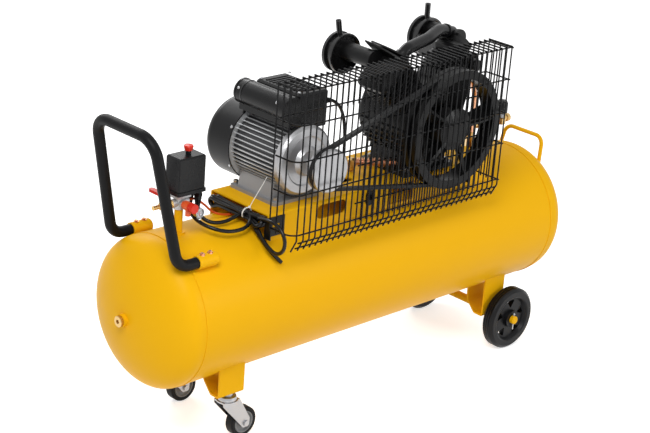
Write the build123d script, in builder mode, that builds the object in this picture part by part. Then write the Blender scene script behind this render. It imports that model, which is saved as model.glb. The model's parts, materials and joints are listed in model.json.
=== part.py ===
from build123d import *
import math
import os

# Belt-driven V-twin air compressor on a wheeled horizontal receiver.
# X runs along the receiver, -Y is the belt side, +Z is up, the floor is Z = 0
# and the origin is on the floor under the middle of the receiver.

os.makedirs("parts", exist_ok=True)

# ---------------------------------------------------------------- clearances
RUN_FIT = 0.05          # radial, between a turning part and its shaft
SLIP_FIT = 0.1          # radial, between parts that are slid together
GAP = 0.4               # between parts that pass each other

# ------------------------------------------------------------------ receiver
TANK_R = 200            # outside radius of the receiver
TANK_Z = 362            # height of its axis
SEAM_X = 660            # half length between the two weld seams
FLANGE = 12             # straight flange of each dished end
DOME = 90               # bulge of each dished end past its flange
WALL = 4
BEAD_W = 8
BEAD_H = 1.6
BOSS_R = 17
BOSS_H = 10
PLUG_R = 11
PLUG_HEAD_R = 14.5
PLUG_HEAD_H = 9
END_X = SEAM_X + FLANGE + DOME

# ---------------------------------------------------------------------- feet
STRIP = 5               # thickness of the foot strip
FOOT_W = 84
FOOT_Y = 143            # outer face of the upright plate
CASTER_FOOT_X = -560    # left edge of the foot over a caster
CASTER_FOOT_Z = 139
AXLE_FOOT_X = 455
AXLE_FOOT_Z = 104

# --------------------------------------------------------------- rear wheels
WHEEL_X = 537
WHEEL_R = 93
WHEEL_W = 41
WHEEL_Y = 150           # inner face of the wheel
AXLE_R = 12
PIN_OUT = 5             # from the wheel to the cotter pin
AXLE_HALF = WHEEL_Y + WHEEL_W + PIN_OUT + 7
PIN_R = 2

# ------------------------------------------------------------------- casters
CASTER_X = -514         # swivel axis
CASTER_Y = 123
TRAIL = 52
CASTER_R = 42
CASTER_W = 32
CASTER_CORE_R = 30
CASTER_AXLE_R = 5
FORK_T = 3
FORK_IN = CASTER_W / 2 + 1.5

# ------------------------------------------------------------- push handle
TUBE_R = 14.5
SOCKET_R = 17.5
SOCKET_Y = 131
SOCKET_LIFT = 21.4      # of the socket axis over the receiver under it
SOCKET_Z = TANK_Z + math.sqrt(TANK_R**2 - SOCKET_Y**2) + SOCKET_LIFT
SOCKET_X0 = -646
SOCKET_X1 = -584
HANDLE_TOP = (-777, 112, TANK_Z + 506)
HANDLE_LOW_X = -706

# ------------------------------------------------------------------ platform
DECK_LIFT = 37          # of the deck over the top of the receiver
DECK_Z = TANK_Z + TANK_R + DECK_LIFT
DECK_T = 4
DECK_X0 = -398
DECK_X1 = 447
DECK_Y = 113

# --------------------------------------------------------------------- motor
MOTOR_X = -266
MOTOR_Z = DECK_Z + 117
HOUSING_R = 90
HOUSING_CORE = 82
HOUSING_Y0 = -76
HOUSING_Y1 = 94
SHIELD_R = 93
SHIELD_Y = -112
COWL_R = 106
COWL_Y = 186
SHAFT_R = 12
BASE_T = 9
BASE_MID = 16           # middle of the motor's four bolts along Y
BASE_PITCH = (128, 156)

# -------------------------------------------------------------- belt drive
PUMP_X = 196
PUMP_Z = DECK_Z + 146
BELT_Y = -176           # middle of the belt
FLY_R = 165
FLY_W = 46
PULLEY_R = 58
RIM = 24                # depth of the flywheel's rim
BELT_T = 9
BELT_W = 13

# ---------------------------------------------------------------------- pump
CRANK_Y0 = -122         # belt-side face of the crankcase
CRANK_Y1 = 72           # its far face
CRANK_MID = (CRANK_Y0 + CRANK_Y1) / 2
CRANK_LEN = CRANK_Y1 - CRANK_Y0
CASE_R = 113            # drum of the crankcase
CASE_RIB = 7            # height of the ribs along the drum
FOOT_T = 13
FOOT_PITCH = (156, 134)
CYL_Y = -42             # middle of both cylinders
CYL_TILT = 45           # of each cylinder from upright
PAD = 126               # height of the cylinder pads over the crank axis
CYL_TOP = 182
CYL_R = 44
FIN_HALF = 58           # half width of a cylinder fin
FIN_T = 4
FIN_COUNT = 5
HEAD_TOP = 226
HEAD_HALF = 60          # half width of a head across its cylinder
HEAD_LONG = 116         # length of a head along Y
HEAD_BEVEL = 16
PORT_R = 25             # intake port along the top of a head
PORT_Y0 = -28
PORT_LIFT = (14, 24)    # of each port over its head, near and far
PORT_IN = (8, 15)       # of each port towards the other head
PIPE_R = 17             # pipe between the heads
FILTER_R = 56
FILTER_Y0 = 81
FILTER_D = 234          # from the crank axis, along the cylinder
OUTLET_R = 16

# ---------------------------------------------------------------------- cage
WIRE = 4
CAGE_X0 = -413
CAGE_X1 = PUMP_X + FLY_R + 3
CAGE_Y0 = -216
CAGE_Y1 = -134
CAGE_TOP = PUMP_Z + FLY_R + 49
CAGE_BEND = 34          # radius of the rails' corner beside the motor
CAGE_RAILS = (DECK_Z + 266, DECK_Z + 171, DECK_Z + 82, DECK_Z - 24)
CAGE_LIP = (-198, DECK_Z - 72)

# -------------------------------------------------------------- switch group
STAND_X = -600
STAND_R = 11
PIPE_TOP = TANK_Z + TANK_R + 64     # top of the standpipe
SWITCH_Z = PIPE_TOP + 42            # underside of the pressure switch


def along_y(x, z, y=0.0):
    """Plane across a line along Y, local x is +X and local y is +Z; normal is -Y."""
    return Plane(origin=(x, y, z), x_dir=(1, 0, 0), z_dir=(0, -1, 0))


def along_x(x, y, z):
    """Plane across a line along X, local x is +Y and local y is +Z; normal is +X."""
    return Plane(origin=(x, y, z), x_dir=(0, 1, 0), z_dir=(1, 0, 0))


def save(piece, name):
    piece.part.label = name
    export_step(piece.part, "parts/" + name + ".step")


# ============================================================== the receiver
with BuildPart() as tank_shell:
    with BuildSketch(along_x(-SEAM_X, 0, TANK_Z)):
        Circle(TANK_R)
        Circle(TANK_R - WALL, mode=Mode.SUBTRACT)
    extrude(amount=2 * SEAM_X)
    for seam in (-SEAM_X, SEAM_X - BEAD_W):
        with BuildSketch(along_x(seam, 0, TANK_Z)):
            Circle(TANK_R + BEAD_H)
            Circle(TANK_R - 1, mode=Mode.SUBTRACT)
        extrude(amount=BEAD_W)
save(tank_shell, "tank_shell")

with BuildPart() as tank_domes:
    with BuildSketch(along_y(0, TANK_Z)):
        with Locations((SEAM_X + FLANGE, 0)):
            Ellipse(DOME, TANK_R)
            Ellipse(DOME - WALL, TANK_R - WALL, mode=Mode.SUBTRACT)
        with Locations((SEAM_X + FLANGE + DOME / 2, TANK_R / 2)):
            Rectangle(DOME, TANK_R, mode=Mode.INTERSECT)
        with Locations((SEAM_X + FLANGE / 2, TANK_R - WALL / 2)):
            Rectangle(FLANGE, WALL)
    revolve(axis=Axis((0, 0, TANK_Z), (1, 0, 0)))
    with BuildSketch(along_x(END_X - WALL - 4, 0, TANK_Z)):
        Circle(BOSS_R)
    extrude(amount=BOSS_H + WALL + 4)
    with BuildSketch(along_x(END_X - 20, 0, TANK_Z)):
        Circle(PLUG_R + SLIP_FIT)
    extrude(amount=60, mode=Mode.SUBTRACT)
    mirror(about=Plane.YZ)
save(tank_domes, "tank_domes")

with BuildPart() as inspection_plugs:
    with BuildSketch(along_x(END_X - 8, 0, TANK_Z)):
        Circle(PLUG_R)
    extrude(amount=8 + BOSS_H)
    with BuildSketch(along_x(END_X + BOSS_H, 0, TANK_Z)):
        Circle(PLUG_HEAD_R)
    extrude(amount=PLUG_HEAD_H)
    chamfer(inspection_plugs.faces().sort_by(Axis.X)[-1].edges(), 1.2)
    with BuildSketch(along_x(END_X + BOSS_H + 2, 0, TANK_Z)):
        RegularPolygon(6, 6)
    extrude(amount=PLUG_HEAD_H, mode=Mode.SUBTRACT)
    mirror(about=Plane.YZ)
save(inspection_plugs, "inspection_plugs")


# ======================================================================= feet
def foot_strip(left, bottom):
    """One bent strip: upright outer plate, flat sole, curled inner plate."""
    top = TANK_Z - 60
    with BuildSketch(along_x(left, 0, 0)) as strip:
        with BuildLine():
            FilletPolyline(
                (-FOOT_Y, top),
                (-FOOT_Y, bottom),
                (-FOOT_Y + 34, bottom),
                (-FOOT_Y + 66, bottom + 34),
                (-FOOT_Y + 72, top),
                radius=(7, 12, 30),
            )
            offset(amount=STRIP, side=Side.LEFT)
        make_face()
    extrude(strip.sketch, amount=FOOT_W)


with BuildPart() as caster_feet:
    foot_strip(CASTER_FOOT_X, CASTER_FOOT_Z)
    with Locations(Location((0, 0, TANK_Z), (0, 90, 0))):
        Cylinder(TANK_R, 4 * SEAM_X, mode=Mode.SUBTRACT)
    with Locations((CASTER_X, -CASTER_Y, CASTER_FOOT_Z)):
        Cylinder(6.2, 40, mode=Mode.SUBTRACT)
    mirror(about=Plane.XZ)
save(caster_feet, "caster_feet")

with BuildPart() as axle_feet:
    foot_strip(AXLE_FOOT_X, AXLE_FOOT_Z)
    with Locations(Location((0, 0, TANK_Z), (0, 90, 0))):
        Cylinder(TANK_R, 4 * SEAM_X, mode=Mode.SUBTRACT)
    with Locations(Location((WHEEL_X, 0, WHEEL_R), (90, 0, 0))):
        Cylinder(AXLE_R, 600, mode=Mode.SUBTRACT)
    mirror(about=Plane.XZ)
save(axle_feet, "axle_feet")

# ================================================================ rear wheels
with BuildPart() as rear_axle:
    with BuildSketch(along_y(WHEEL_X, WHEEL_R, AXLE_HALF)):
        Circle(AXLE_R)
    extrude(amount=2 * AXLE_HALF)
    chamfer(rear_axle.edges().filter_by(GeomType.CIRCLE), 1.5)
    for side in (-1, 1):
        with Locations((WHEEL_X, side * (WHEEL_Y + WHEEL_W + PIN_OUT), WHEEL_R)):
            Cylinder(PIN_R + SLIP_FIT, 60, mode=Mode.SUBTRACT)
save(rear_axle, "rear_axle")

with BuildPart() as cotter_pins:
    for side in (-1, 1):
        with Locations((WHEEL_X, side * (WHEEL_Y + WHEEL_W + PIN_OUT), WHEEL_R - 6)):
            Cylinder(PIN_R, 48)
        with Locations((WHEEL_X, side * (WHEEL_Y + WHEEL_W + PIN_OUT), WHEEL_R + 18)):
            Sphere(PIN_R + 1.6)
save(cotter_pins, "cotter_pins")


def rear_wheel(side):
    """A moulded wheel: grooved tread, dished web with five windows, long hub."""
    inner = WHEEL_Y
    outer = WHEEL_Y + WHEEL_W
    middle = WHEEL_Y + WHEEL_W / 2
    section = Plane(origin=(WHEEL_X, 0, WHEEL_R), x_dir=(0, side, 0), z_dir=(side, 0, 0))
    with BuildSketch(section) as half:
        with BuildLine():
            Polyline(
                (inner, AXLE_R + RUN_FIT),
                (outer, AXLE_R + RUN_FIT),
                (outer, 25),
                (outer - 11, 27),
                (outer - 12, 60),
                (outer - 2, 66),
                (outer, 70),
                (outer, 84),
                (outer - 5, 90),
                (outer - 9, WHEEL_R),
            )
            Polyline((outer - 9, WHEEL_R), (inner + 9, WHEEL_R))
            Polyline(
                (inner + 9, WHEEL_R),
                (inner + 5, 90),
                (inner, 84),
                (inner, 70),
                (inner + 12, 62),
                (inner + 14, 27),
                (inner, 25),
                (inner, AXLE_R + RUN_FIT),
            )
        make_face()
        for step in (-8, 0, 8):
            with Locations((middle + step, WHEEL_R)):
                Rectangle(2.4, 4, mode=Mode.SUBTRACT)
    revolve(half.sketch, axis=Axis((WHEEL_X, 0, WHEEL_R), (0, 1, 0)))
    with BuildSketch(along_y(WHEEL_X, WHEEL_R, side * middle + 30)) as windows:
        with PolarLocations(0, 5, start_angle=90):
            Polygon((31, 0), (56, 17), (56, -17), align=None)
        fillet(windows.vertices(), 3)
    extrude(windows.sketch, amount=60, mode=Mode.SUBTRACT)


with BuildPart() as rear_wheel_front:
    rear_wheel(-1)
save(rear_wheel_front, "rear_wheel_front")

with BuildPart() as rear_wheel_back:
    rear_wheel(1)
save(rear_wheel_back, "rear_wheel_back")


# ==================================================================== casters
def caster(side, tag):
    """Swivel caster: fixed race under the foot, trailing fork, cored wheel."""
    y = side * CASTER_Y
    wheel_x = CASTER_X + TRAIL
    with BuildPart() as race:
        with BuildSketch(along_y(CASTER_X, 0, y)) as cup:
            with BuildLine():
                Polyline(
                    (0, CASTER_FOOT_Z),
                    (15, CASTER_FOOT_Z),
                    (15, CASTER_FOOT_Z - 6),
                    (24, CASTER_FOOT_Z - 8),
                    (26, CASTER_FOOT_Z - 14),
                    (26, CASTER_FOOT_Z - 18),
                    (0, CASTER_FOOT_Z - 18),
                    (0, CASTER_FOOT_Z),
                )
            make_face()
        revolve(cup.sketch, axis=Axis((CASTER_X, y, 0), (0, 0, 1)))
        with Locations((CASTER_X, y, CASTER_FOOT_Z + 8)):
            Cylinder(6, 18)
        with Locations((CASTER_X, y, CASTER_FOOT_Z + STRIP + 4)):
            Cylinder(8, 8)
    save(race, "caster_race_" + tag)

    crown = CASTER_FOOT_Z - 18 - GAP
    with BuildPart() as fork:
        with BuildSketch(along_y(0, 0, y + FORK_IN + FORK_T)) as cheek:
            with BuildLine() as rim:
                Polyline(
                    (CASTER_X - 27, crown),
                    (CASTER_X - 27, crown - 10),
                    (wheel_x - 8, CASTER_R - 12),
                    (wheel_x + 12, CASTER_R - 8),
                    (wheel_x + 13, CASTER_R + 12),
                    (CASTER_X + 34, crown - 12),
                    (CASTER_X + 27, crown),
                    close=True,
                )
            make_face()
            fillet(cheek.vertices().group_by(Axis.Y)[0:3][0], 6)
        extrude(cheek.sketch, amount=2 * (FORK_IN + FORK_T))
        with Locations((wheel_x + 10, y, (crown - 4) / 2 - 20)):
            Box(400, 2 * FORK_IN, crown - 4 + 40, mode=Mode.SUBTRACT)
        with Locations((CASTER_X, y, crown - 6)):
            Cylinder(29, 12)
        with Locations((CASTER_X, y, crown - 16)):
            Box(80, 2 * FORK_IN, 24, mode=Mode.SUBTRACT)
        with Locations(Location((wheel_x, y, CASTER_R), (90, 0, 0))):
            Cylinder(CASTER_AXLE_R, 2 * (FORK_IN + FORK_T))
        for end in (-1, 1):
            outer = y + end * (FORK_IN + FORK_T + 2.5)
            with Locations(Location((wheel_x, outer, CASTER_R), (90, 0, 0))):
                Cylinder(8, 5)
    save(fork, "caster_fork_" + tag)

    with BuildPart() as core:
        profile = Plane(origin=(wheel_x, y, CASTER_R), x_dir=(0, 1, 0), z_dir=(1, 0, 0))
        with BuildSketch(profile) as hub:
            with BuildLine():
                half = CASTER_W / 2
                Polyline(
                    (-half, CASTER_AXLE_R + RUN_FIT),
                    (half, CASTER_AXLE_R + RUN_FIT),
                    (half, 12),
                    (half - 6, 14),
                    (half - 6, 24),
                    (half - 2, 27),
                    (half - 2, CASTER_CORE_R),
                    (2 - half, CASTER_CORE_R),
                    (2 - half, 27),
                    (6 - half, 24),
                    (6 - half, 14),
                    (-half, 12),
                    close=True,
                )
            make_face()
        revolve(hub.sketch, axis=Axis((wheel_x, y, CASTER_R), (0, 1, 0)))
    save(core, "caster_core_" + tag)

    with BuildPart() as tyre:
        with BuildSketch(profile) as ring:
            with Locations((0, (CASTER_R + CASTER_CORE_R) / 2)):
                Rectangle(CASTER_W - 4, CASTER_R - CASTER_CORE_R)
            fillet(ring.vertices().group_by(Axis.Z)[-1], 4)
        revolve(ring.sketch, axis=Axis((wheel_x, y, CASTER_R), (0, 1, 0)))
    save(tyre, "caster_tyre_" + tag)


caster(-1, "front")
caster(1, "back")

# ================================================================ push handle
with BuildPart() as push_handle:
    with BuildLine() as route:
        FilletPolyline(
            (SOCKET_X1 - 8, -SOCKET_Y, SOCKET_Z),
            (HANDLE_LOW_X, -SOCKET_Y, SOCKET_Z),
            (HANDLE_TOP[0], -HANDLE_TOP[1], HANDLE_TOP[2]),
            (HANDLE_TOP[0], HANDLE_TOP[1], HANDLE_TOP[2]),
            (HANDLE_LOW_X, SOCKET_Y, SOCKET_Z),
            (SOCKET_X1 - 8, SOCKET_Y, SOCKET_Z),
            radius=(44, 52, 52, 44),
        )
    with BuildSketch(route.line ^ 0):
        Circle(TUBE_R)
    sweep()
save(push_handle, "push_handle")

with BuildPart() as handle_sockets:
    with BuildSketch(along_x(SOCKET_X0, -SOCKET_Y, SOCKET_Z)):
        Circle(SOCKET_R)
    extrude(amount=SOCKET_X1 - SOCKET_X0)
    fillet(handle_sockets.faces().sort_by(Axis.X)[-1].edges(), 5)
    with BuildSketch(along_x(SOCKET_X0, -SOCKET_Y, SOCKET_Z)):
        Circle(TUBE_R + RUN_FIT)
    extrude(amount=SOCKET_X1 - 8 - SOCKET_X0, mode=Mode.SUBTRACT)
    with Locations(Location((0, 0, TANK_Z), (0, 90, 0))):
        Cylinder(TANK_R, 4 * SEAM_X, mode=Mode.SUBTRACT)
    mirror(about=Plane.XZ)
save(handle_sockets, "handle_sockets")

with BuildPart() as socket_screws:
    for along in (17, 42):
        with Locations((SOCKET_X0 + along, -SOCKET_Y, SOCKET_Z + SOCKET_R)):
            Cylinder(7, 3)
        with BuildSketch(Plane.XY.offset(SOCKET_Z + SOCKET_R + 1)) as hexagon:
            with Locations((SOCKET_X0 + along, -SOCKET_Y)):
                RegularPolygon(5, 6)
        extrude(amount=4)
    with Locations(Location((0, -SOCKET_Y, SOCKET_Z), (0, 90, 0))):
        Cylinder(SOCKET_R, 4 * SEAM_X, mode=Mode.SUBTRACT)
    mirror(about=Plane.XZ)
save(socket_screws, "socket_screws")

LIFT_R = 6
LIFT_FOOT = (SEAM_X + 54, 80, TANK_Z + 139)
LIFT_TOP = (SEAM_X + 72, 70, TANK_Z + 228)
with BuildPart() as lift_handle:
    with BuildLine() as route:
        FilletPolyline(
            (LIFT_FOOT[0], -LIFT_FOOT[1], LIFT_FOOT[2]),
            (LIFT_TOP[0], -LIFT_TOP[1], LIFT_TOP[2]),
            (LIFT_TOP[0], LIFT_TOP[1], LIFT_TOP[2]),
            (LIFT_FOOT[0], LIFT_FOOT[1], LIFT_FOOT[2]),
            radius=28,
        )
    with BuildSketch(route.line ^ 0):
        Circle(LIFT_R)
    sweep()
    with BuildSketch(along_y(0, TANK_Z)) as envelope:
        with Locations((SEAM_X + FLANGE, 0)):
            Ellipse(DOME, TANK_R)
        with Locations((SEAM_X + FLANGE + DOME / 2, TANK_R / 2)):
            Rectangle(DOME, TANK_R, mode=Mode.INTERSECT)
    revolve(axis=Axis((0, 0, TANK_Z), (1, 0, 0)), mode=Mode.SUBTRACT)
save(lift_handle, "lift_handle")

# ================================================================== platform
with BuildPart() as platform:
    with BuildSketch(along_x(DECK_X0, 0, 0)):
        with BuildLine():
            FilletPolyline(
                (-DECK_Y, TANK_Z + 150),
                (-DECK_Y, DECK_Z),
                (DECK_Y, DECK_Z),
                (DECK_Y, TANK_Z + 150),
                radius=7,
            )
            offset(amount=DECK_T, side=Side.RIGHT)
        make_face()
    extrude(amount=DECK_X1 - DECK_X0)
    with Locations(Location((0, 0, TANK_Z), (0, 90, 0))):
        Cylinder(TANK_R, 4 * SEAM_X, mode=Mode.SUBTRACT)
    with BuildSketch(along_y(-175, DECK_Z - 30, 300)):
        SlotOverall(110, 38)
    extrude(amount=600, mode=Mode.SUBTRACT)
    with BuildSketch(along_y(89, DECK_Z - 38, 0)):
        RectangleRounded(96, 52, 4)
    extrude(amount=300, mode=Mode.SUBTRACT)
    with BuildSketch(Plane.XY.offset(DECK_Z - 20)):
        with Locations((-60, -30)):
            SlotOverall(70, 26)
        with Locations((MOTOR_X, BASE_MID)):
            with GridLocations(*BASE_PITCH, 2, 2):
                SlotOverall(34, 11)
        with Locations((PUMP_X, CRANK_MID)):
            with GridLocations(*FOOT_PITCH, 2, 2):
                Circle(5.5)
    extrude(amount=40, mode=Mode.SUBTRACT)
save(platform, "platform")

# ===================================================================== motor
with BuildPart() as motor_housing:
    with BuildSketch(along_y(MOTOR_X, MOTOR_Z, HOUSING_Y1 - 8)):
        Circle(HOUSING_CORE)
        with PolarLocations((HOUSING_CORE + HOUSING_R) / 2 - 1, 44):
            Rectangle(HOUSING_R - HOUSING_CORE + 4, 2.6)
        Circle(HOUSING_R, mode=Mode.INTERSECT)
    extrude(amount=HOUSING_Y1 - 8 - HOUSING_Y0)
    with BuildSketch(along_y(MOTOR_X, MOTOR_Z, HOUSING_Y1)):
        Circle(COWL_R - 3)
    extrude(amount=8)
    with BuildSketch(along_y(MOTOR_X, MOTOR_Z, HOUSING_Y1 + 10)):
        Circle(SHAFT_R + RUN_FIT)
    extrude(amount=300, mode=Mode.SUBTRACT)
save(motor_housing, "motor_housing")


def clear_motor():
    """Cut away the room that the housing, the shield and the cowl take."""
    for radius, y0, y1 in (
        (HOUSING_R, HOUSING_Y0 - 300, COWL_Y + 300),
        (SHIELD_R + GAP, HOUSING_Y0 - 300, HOUSING_Y0 + GAP),
        (COWL_R + GAP, HOUSING_Y1 - 10 - GAP, COWL_Y + 300),
    ):
        with Locations(Location((MOTOR_X, (y0 + y1) / 2, MOTOR_Z), (90, 0, 0))):
            Cylinder(radius, y1 - y0, mode=Mode.SUBTRACT)


with BuildPart() as motor_base:
    with BuildSketch(Plane.XY.offset(DECK_Z)):
        with Locations((MOTOR_X, (HOUSING_Y0 + 102) / 2)):
            RectangleRounded(160, 102 - HOUSING_Y0, 8)
    extrude(amount=BASE_T)
    with BuildSketch(along_y(MOTOR_X, 0, HOUSING_Y1 - 12)):
        with BuildLine():
            Polyline(
                (-68, DECK_Z + BASE_T),
                (-58, DECK_Z + 62),
                (58, DECK_Z + 62),
                (68, DECK_Z + BASE_T),
                close=True,
            )
        make_face()
    extrude(amount=HOUSING_Y1 - 40 - HOUSING_Y0)
    clear_motor()
    with BuildSketch(Plane.XY.offset(DECK_Z)):
        with Locations((MOTOR_X, BASE_MID)):
            with GridLocations(*BASE_PITCH, 2, 2):
                Circle(5.5)
    extrude(amount=14, mode=Mode.SUBTRACT)
save(motor_base, "motor_base")

with BuildPart() as motor_shield:
    with BuildSketch(Plane(origin=(MOTOR_X, 0, MOTOR_Z), x_dir=(0, 1, 0), z_dir=(1, 0, 0))):
        with BuildLine():
            Polyline(
                (HOUSING_Y0, SHAFT_R + RUN_FIT),
                (HOUSING_Y0, SHIELD_R),
                (HOUSING_Y0 - 14, SHIELD_R),
                (HOUSING_Y0 - 22, SHIELD_R - 7),
                (HOUSING_Y0 - 25, SHIELD_R - 26),
                (HOUSING_Y0 - 22, SHIELD_R - 30),
                (HOUSING_Y0 - 24, SHIELD_R - 52),
                (SHIELD_Y, SHIELD_R - 60),
                (SHIELD_Y, SHAFT_R + RUN_FIT),
                close=True,
            )
        make_face()
    revolve(axis=Axis((MOTOR_X, 0, MOTOR_Z), (0, 1, 0)))
save(motor_shield, "motor_shield")

with BuildPart() as fan_cowl:
    with BuildSketch(Plane(origin=(MOTOR_X, 0, MOTOR_Z), x_dir=(0, 1, 0), z_dir=(1, 0, 0))):
        with BuildLine():
            FilletPolyline(
                (HOUSING_Y1 - 10, COWL_R),
                (COWL_Y, COWL_R),
                (COWL_Y, 0),
                radius=26,
            )
            FilletPolyline(
                (HOUSING_Y1 - 10, COWL_R - 3),
                (COWL_Y - 3, COWL_R - 3),
                (COWL_Y - 3, 0),
                radius=23,
            )
            Line((HOUSING_Y1 - 10, COWL_R), (HOUSING_Y1 - 10, COWL_R - 3))
            Line((COWL_Y, 0), (COWL_Y - 3, 0))
        make_face()
    revolve(axis=Axis((MOTOR_X, 0, MOTOR_Z), (0, 1, 0)))
    with BuildSketch(along_y(MOTOR_X, MOTOR_Z, COWL_Y + 5)):
        with PolarLocations(56, 16):
            SlotOverall(44, 7)
    extrude(amount=14, mode=Mode.SUBTRACT)
save(fan_cowl, "fan_cowl")

with BuildPart() as capacitor_case:
    with BuildSketch(along_y(MOTOR_X - 52, MOTOR_Z + 144, 100)):
        Circle(33)
        with Locations((10, -24)):
            Rectangle(40, 48)
    extrude(amount=192)
    clear_motor()
    with Locations((MOTOR_X - 10, 0, MOTOR_Z + 140)):
        Box(22, 400, 200, mode=Mode.SUBTRACT)
save(capacitor_case, "capacitor_case")

with BuildPart() as terminal_box:
    with BuildSketch(Plane.XY.offset(MOTOR_Z + 78)):
        with Locations((MOTOR_X + 31, 4)):
            RectangleRounded(104, 168, 8)
    extrude(amount=96)
    chamfer(terminal_box.faces().sort_by(Axis.Z)[-1].edges(), 5)
    with BuildSketch(Plane.XY.offset(MOTOR_Z + 171)):
        with Locations((MOTOR_X + 31, 4)):
            with GridLocations(0, 13, 1, 10):
                Rectangle(76, 4)
    extrude(amount=5)
    clear_motor()
    with Locations(Location((MOTOR_X + 83, -48, MOTOR_Z + 132), (0, 90, 0))):
        Cylinder(10, 28)
    with Locations(Location((MOTOR_X + 90, -48, MOTOR_Z + 132), (0, 90, 0))):
        Cylinder(4.6, 40, mode=Mode.SUBTRACT)
save(terminal_box, "terminal_box")

# ================================================================ belt drive
REACH = math.hypot(PUMP_X - MOTOR_X, PUMP_Z - MOTOR_Z)
LINE = math.atan2(PUMP_Z - MOTOR_Z, PUMP_X - MOTOR_X)
LEAN = math.acos((PULLEY_R - FLY_R) / REACH)


def belt_loop(inset):
    """Outline of the belt, inset from the rims of its two wheels."""
    corners = []
    for side in (1, -1):
        turn = LINE + side * LEAN
        ends = [(0, 0, PULLEY_R - inset), (PUMP_X - MOTOR_X, PUMP_Z - MOTOR_Z, FLY_R - inset)]
        if side < 0:
            ends.reverse()
        for x, z, r in ends:
            corners.append((x + r * math.cos(turn), z + r * math.sin(turn)))
    Circle(PULLEY_R - inset)
    with Locations((PUMP_X - MOTOR_X, PUMP_Z - MOTOR_Z)):
        Circle(FLY_R - inset)
    Polygon(*corners, align=None)


with BuildPart() as drive_belt:
    with BuildSketch(along_y(MOTOR_X, MOTOR_Z, BELT_Y + BELT_W / 2)) as loop:
        belt_loop(1)
    with BuildSketch(along_y(MOTOR_X, MOTOR_Z, BELT_Y + BELT_W / 2)) as hollow:
        belt_loop(1 + BELT_T)
    extrude(loop.sketch, amount=BELT_W)
    extrude(hollow.sketch, amount=BELT_W, mode=Mode.SUBTRACT)
save(drive_belt, "drive_belt")

GROOVE = BELT_W + 2 * GAP
DEPTH = 1 + BELT_T + GAP

with BuildPart() as motor_rotor:
    with BuildSketch(Plane(origin=(MOTOR_X, 0, MOTOR_Z), x_dir=(0, 1, 0), z_dir=(1, 0, 0))):
        with BuildLine():
            Polyline(
                (BELT_Y - 19, 0),
                (BELT_Y - 19, PULLEY_R - 4),
                (BELT_Y - 15, PULLEY_R),
                (BELT_Y - GROOVE / 2, PULLEY_R),
                (BELT_Y - GROOVE / 2, PULLEY_R - DEPTH),
                (BELT_Y + GROOVE / 2, PULLEY_R - DEPTH),
                (BELT_Y + GROOVE / 2, PULLEY_R),
                (BELT_Y + 13, PULLEY_R),
                (BELT_Y + 13, PULLEY_R - 12),
                (BELT_Y + 16, 24),
                (BELT_Y + 26, 24),
                (BELT_Y + 26, SHAFT_R),
                (HOUSING_Y1 + 10, SHAFT_R),
                (HOUSING_Y1 + 10, 84),
                (HOUSING_Y1 + 15, 84),
                (HOUSING_Y1 + 18, 30),
                (HOUSING_Y1 + 50, 26),
                (HOUSING_Y1 + 50, 0),
                close=True,
            )
        make_face()
    revolve(axis=Axis((MOTOR_X, 0, MOTOR_Z), (0, 1, 0)))
    with BuildSketch(along_y(MOTOR_X, MOTOR_Z, HOUSING_Y1 + 46)):
        with PolarLocations(54, 8):
            Rectangle(58, 4)
    extrude(amount=33)
save(motor_rotor, "motor_rotor")

CRANK_R = 16
HUB_R = 58
BLADES = 5
BLADE_T = 9
BLADE_TWIST = (14, 38)  # degrees off the axle's direction, at the hub and at the rim
BLADE_PHASE = 9


def blade_section(turn, radius, twist, width):
    """Section of one fan blade, square to its radius and turned off the axle."""
    out = Vector(math.cos(turn), 0, math.sin(turn))
    across = Vector(-math.sin(turn), 0, math.cos(turn))
    lean = math.radians(90 - twist)
    chord = across * math.cos(lean) + Vector(0, 1, 0) * math.sin(lean)
    root = Vector(PUMP_X, BELT_Y, PUMP_Z) + out * radius
    with BuildSketch(Plane(origin=root, x_dir=chord, z_dir=out)) as section:
        Rectangle(width, BLADE_T)
    return section.sketch


with BuildPart() as flywheel:
    with BuildSketch(Plane(origin=(PUMP_X, 0, PUMP_Z), x_dir=(0, 1, 0), z_dir=(1, 0, 0))):
        with Locations((BELT_Y, FLY_R - RIM / 2)):
            Rectangle(FLY_W, RIM)
        with Locations((BELT_Y, FLY_R - DEPTH / 2)):
            Rectangle(GROOVE, DEPTH, mode=Mode.SUBTRACT)
    revolve(axis=Axis((PUMP_X, 0, PUMP_Z), (0, 1, 0)))
    with BuildSketch(Plane(origin=(PUMP_X, 0, PUMP_Z), x_dir=(0, 1, 0), z_dir=(1, 0, 0))):
        with BuildLine():
            Polyline(
                (BELT_Y - FLY_W / 2, 0),
                (BELT_Y - FLY_W / 2, HUB_R - 24),
                (BELT_Y - FLY_W / 2 + 9, HUB_R),
                (BELT_Y + FLY_W / 2, HUB_R),
                (BELT_Y + FLY_W / 2, CRANK_R),
                (CRANK_Y0 + 60, CRANK_R),
                (CRANK_Y0 + 60, 0),
                close=True,
            )
        make_face()
    revolve(axis=Axis((PUMP_X, 0, PUMP_Z), (0, 1, 0)))
    for blade in range(BLADES):
        turn = math.radians(360 / BLADES * blade + BLADE_PHASE)
        inner = blade_section(turn, HUB_R - 10, BLADE_TWIST[0], FLY_W - 8)
        outer = blade_section(turn, FLY_R - RIM + 6, BLADE_TWIST[1], FLY_W + 6)
        loft(sections=(inner, outer))
    with BuildSketch(along_y(PUMP_X, PUMP_Z, BELT_Y - FLY_W / 2)):
        Circle(FLY_R)
    extrude(amount=40, mode=Mode.SUBTRACT)
    with BuildSketch(along_y(PUMP_X, PUMP_Z, BELT_Y + FLY_W / 2 + 40)):
        Circle(FLY_R)
        Circle(HUB_R - 2, mode=Mode.SUBTRACT)
    extrude(amount=40, mode=Mode.SUBTRACT)
save(flywheel, "flywheel")

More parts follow.
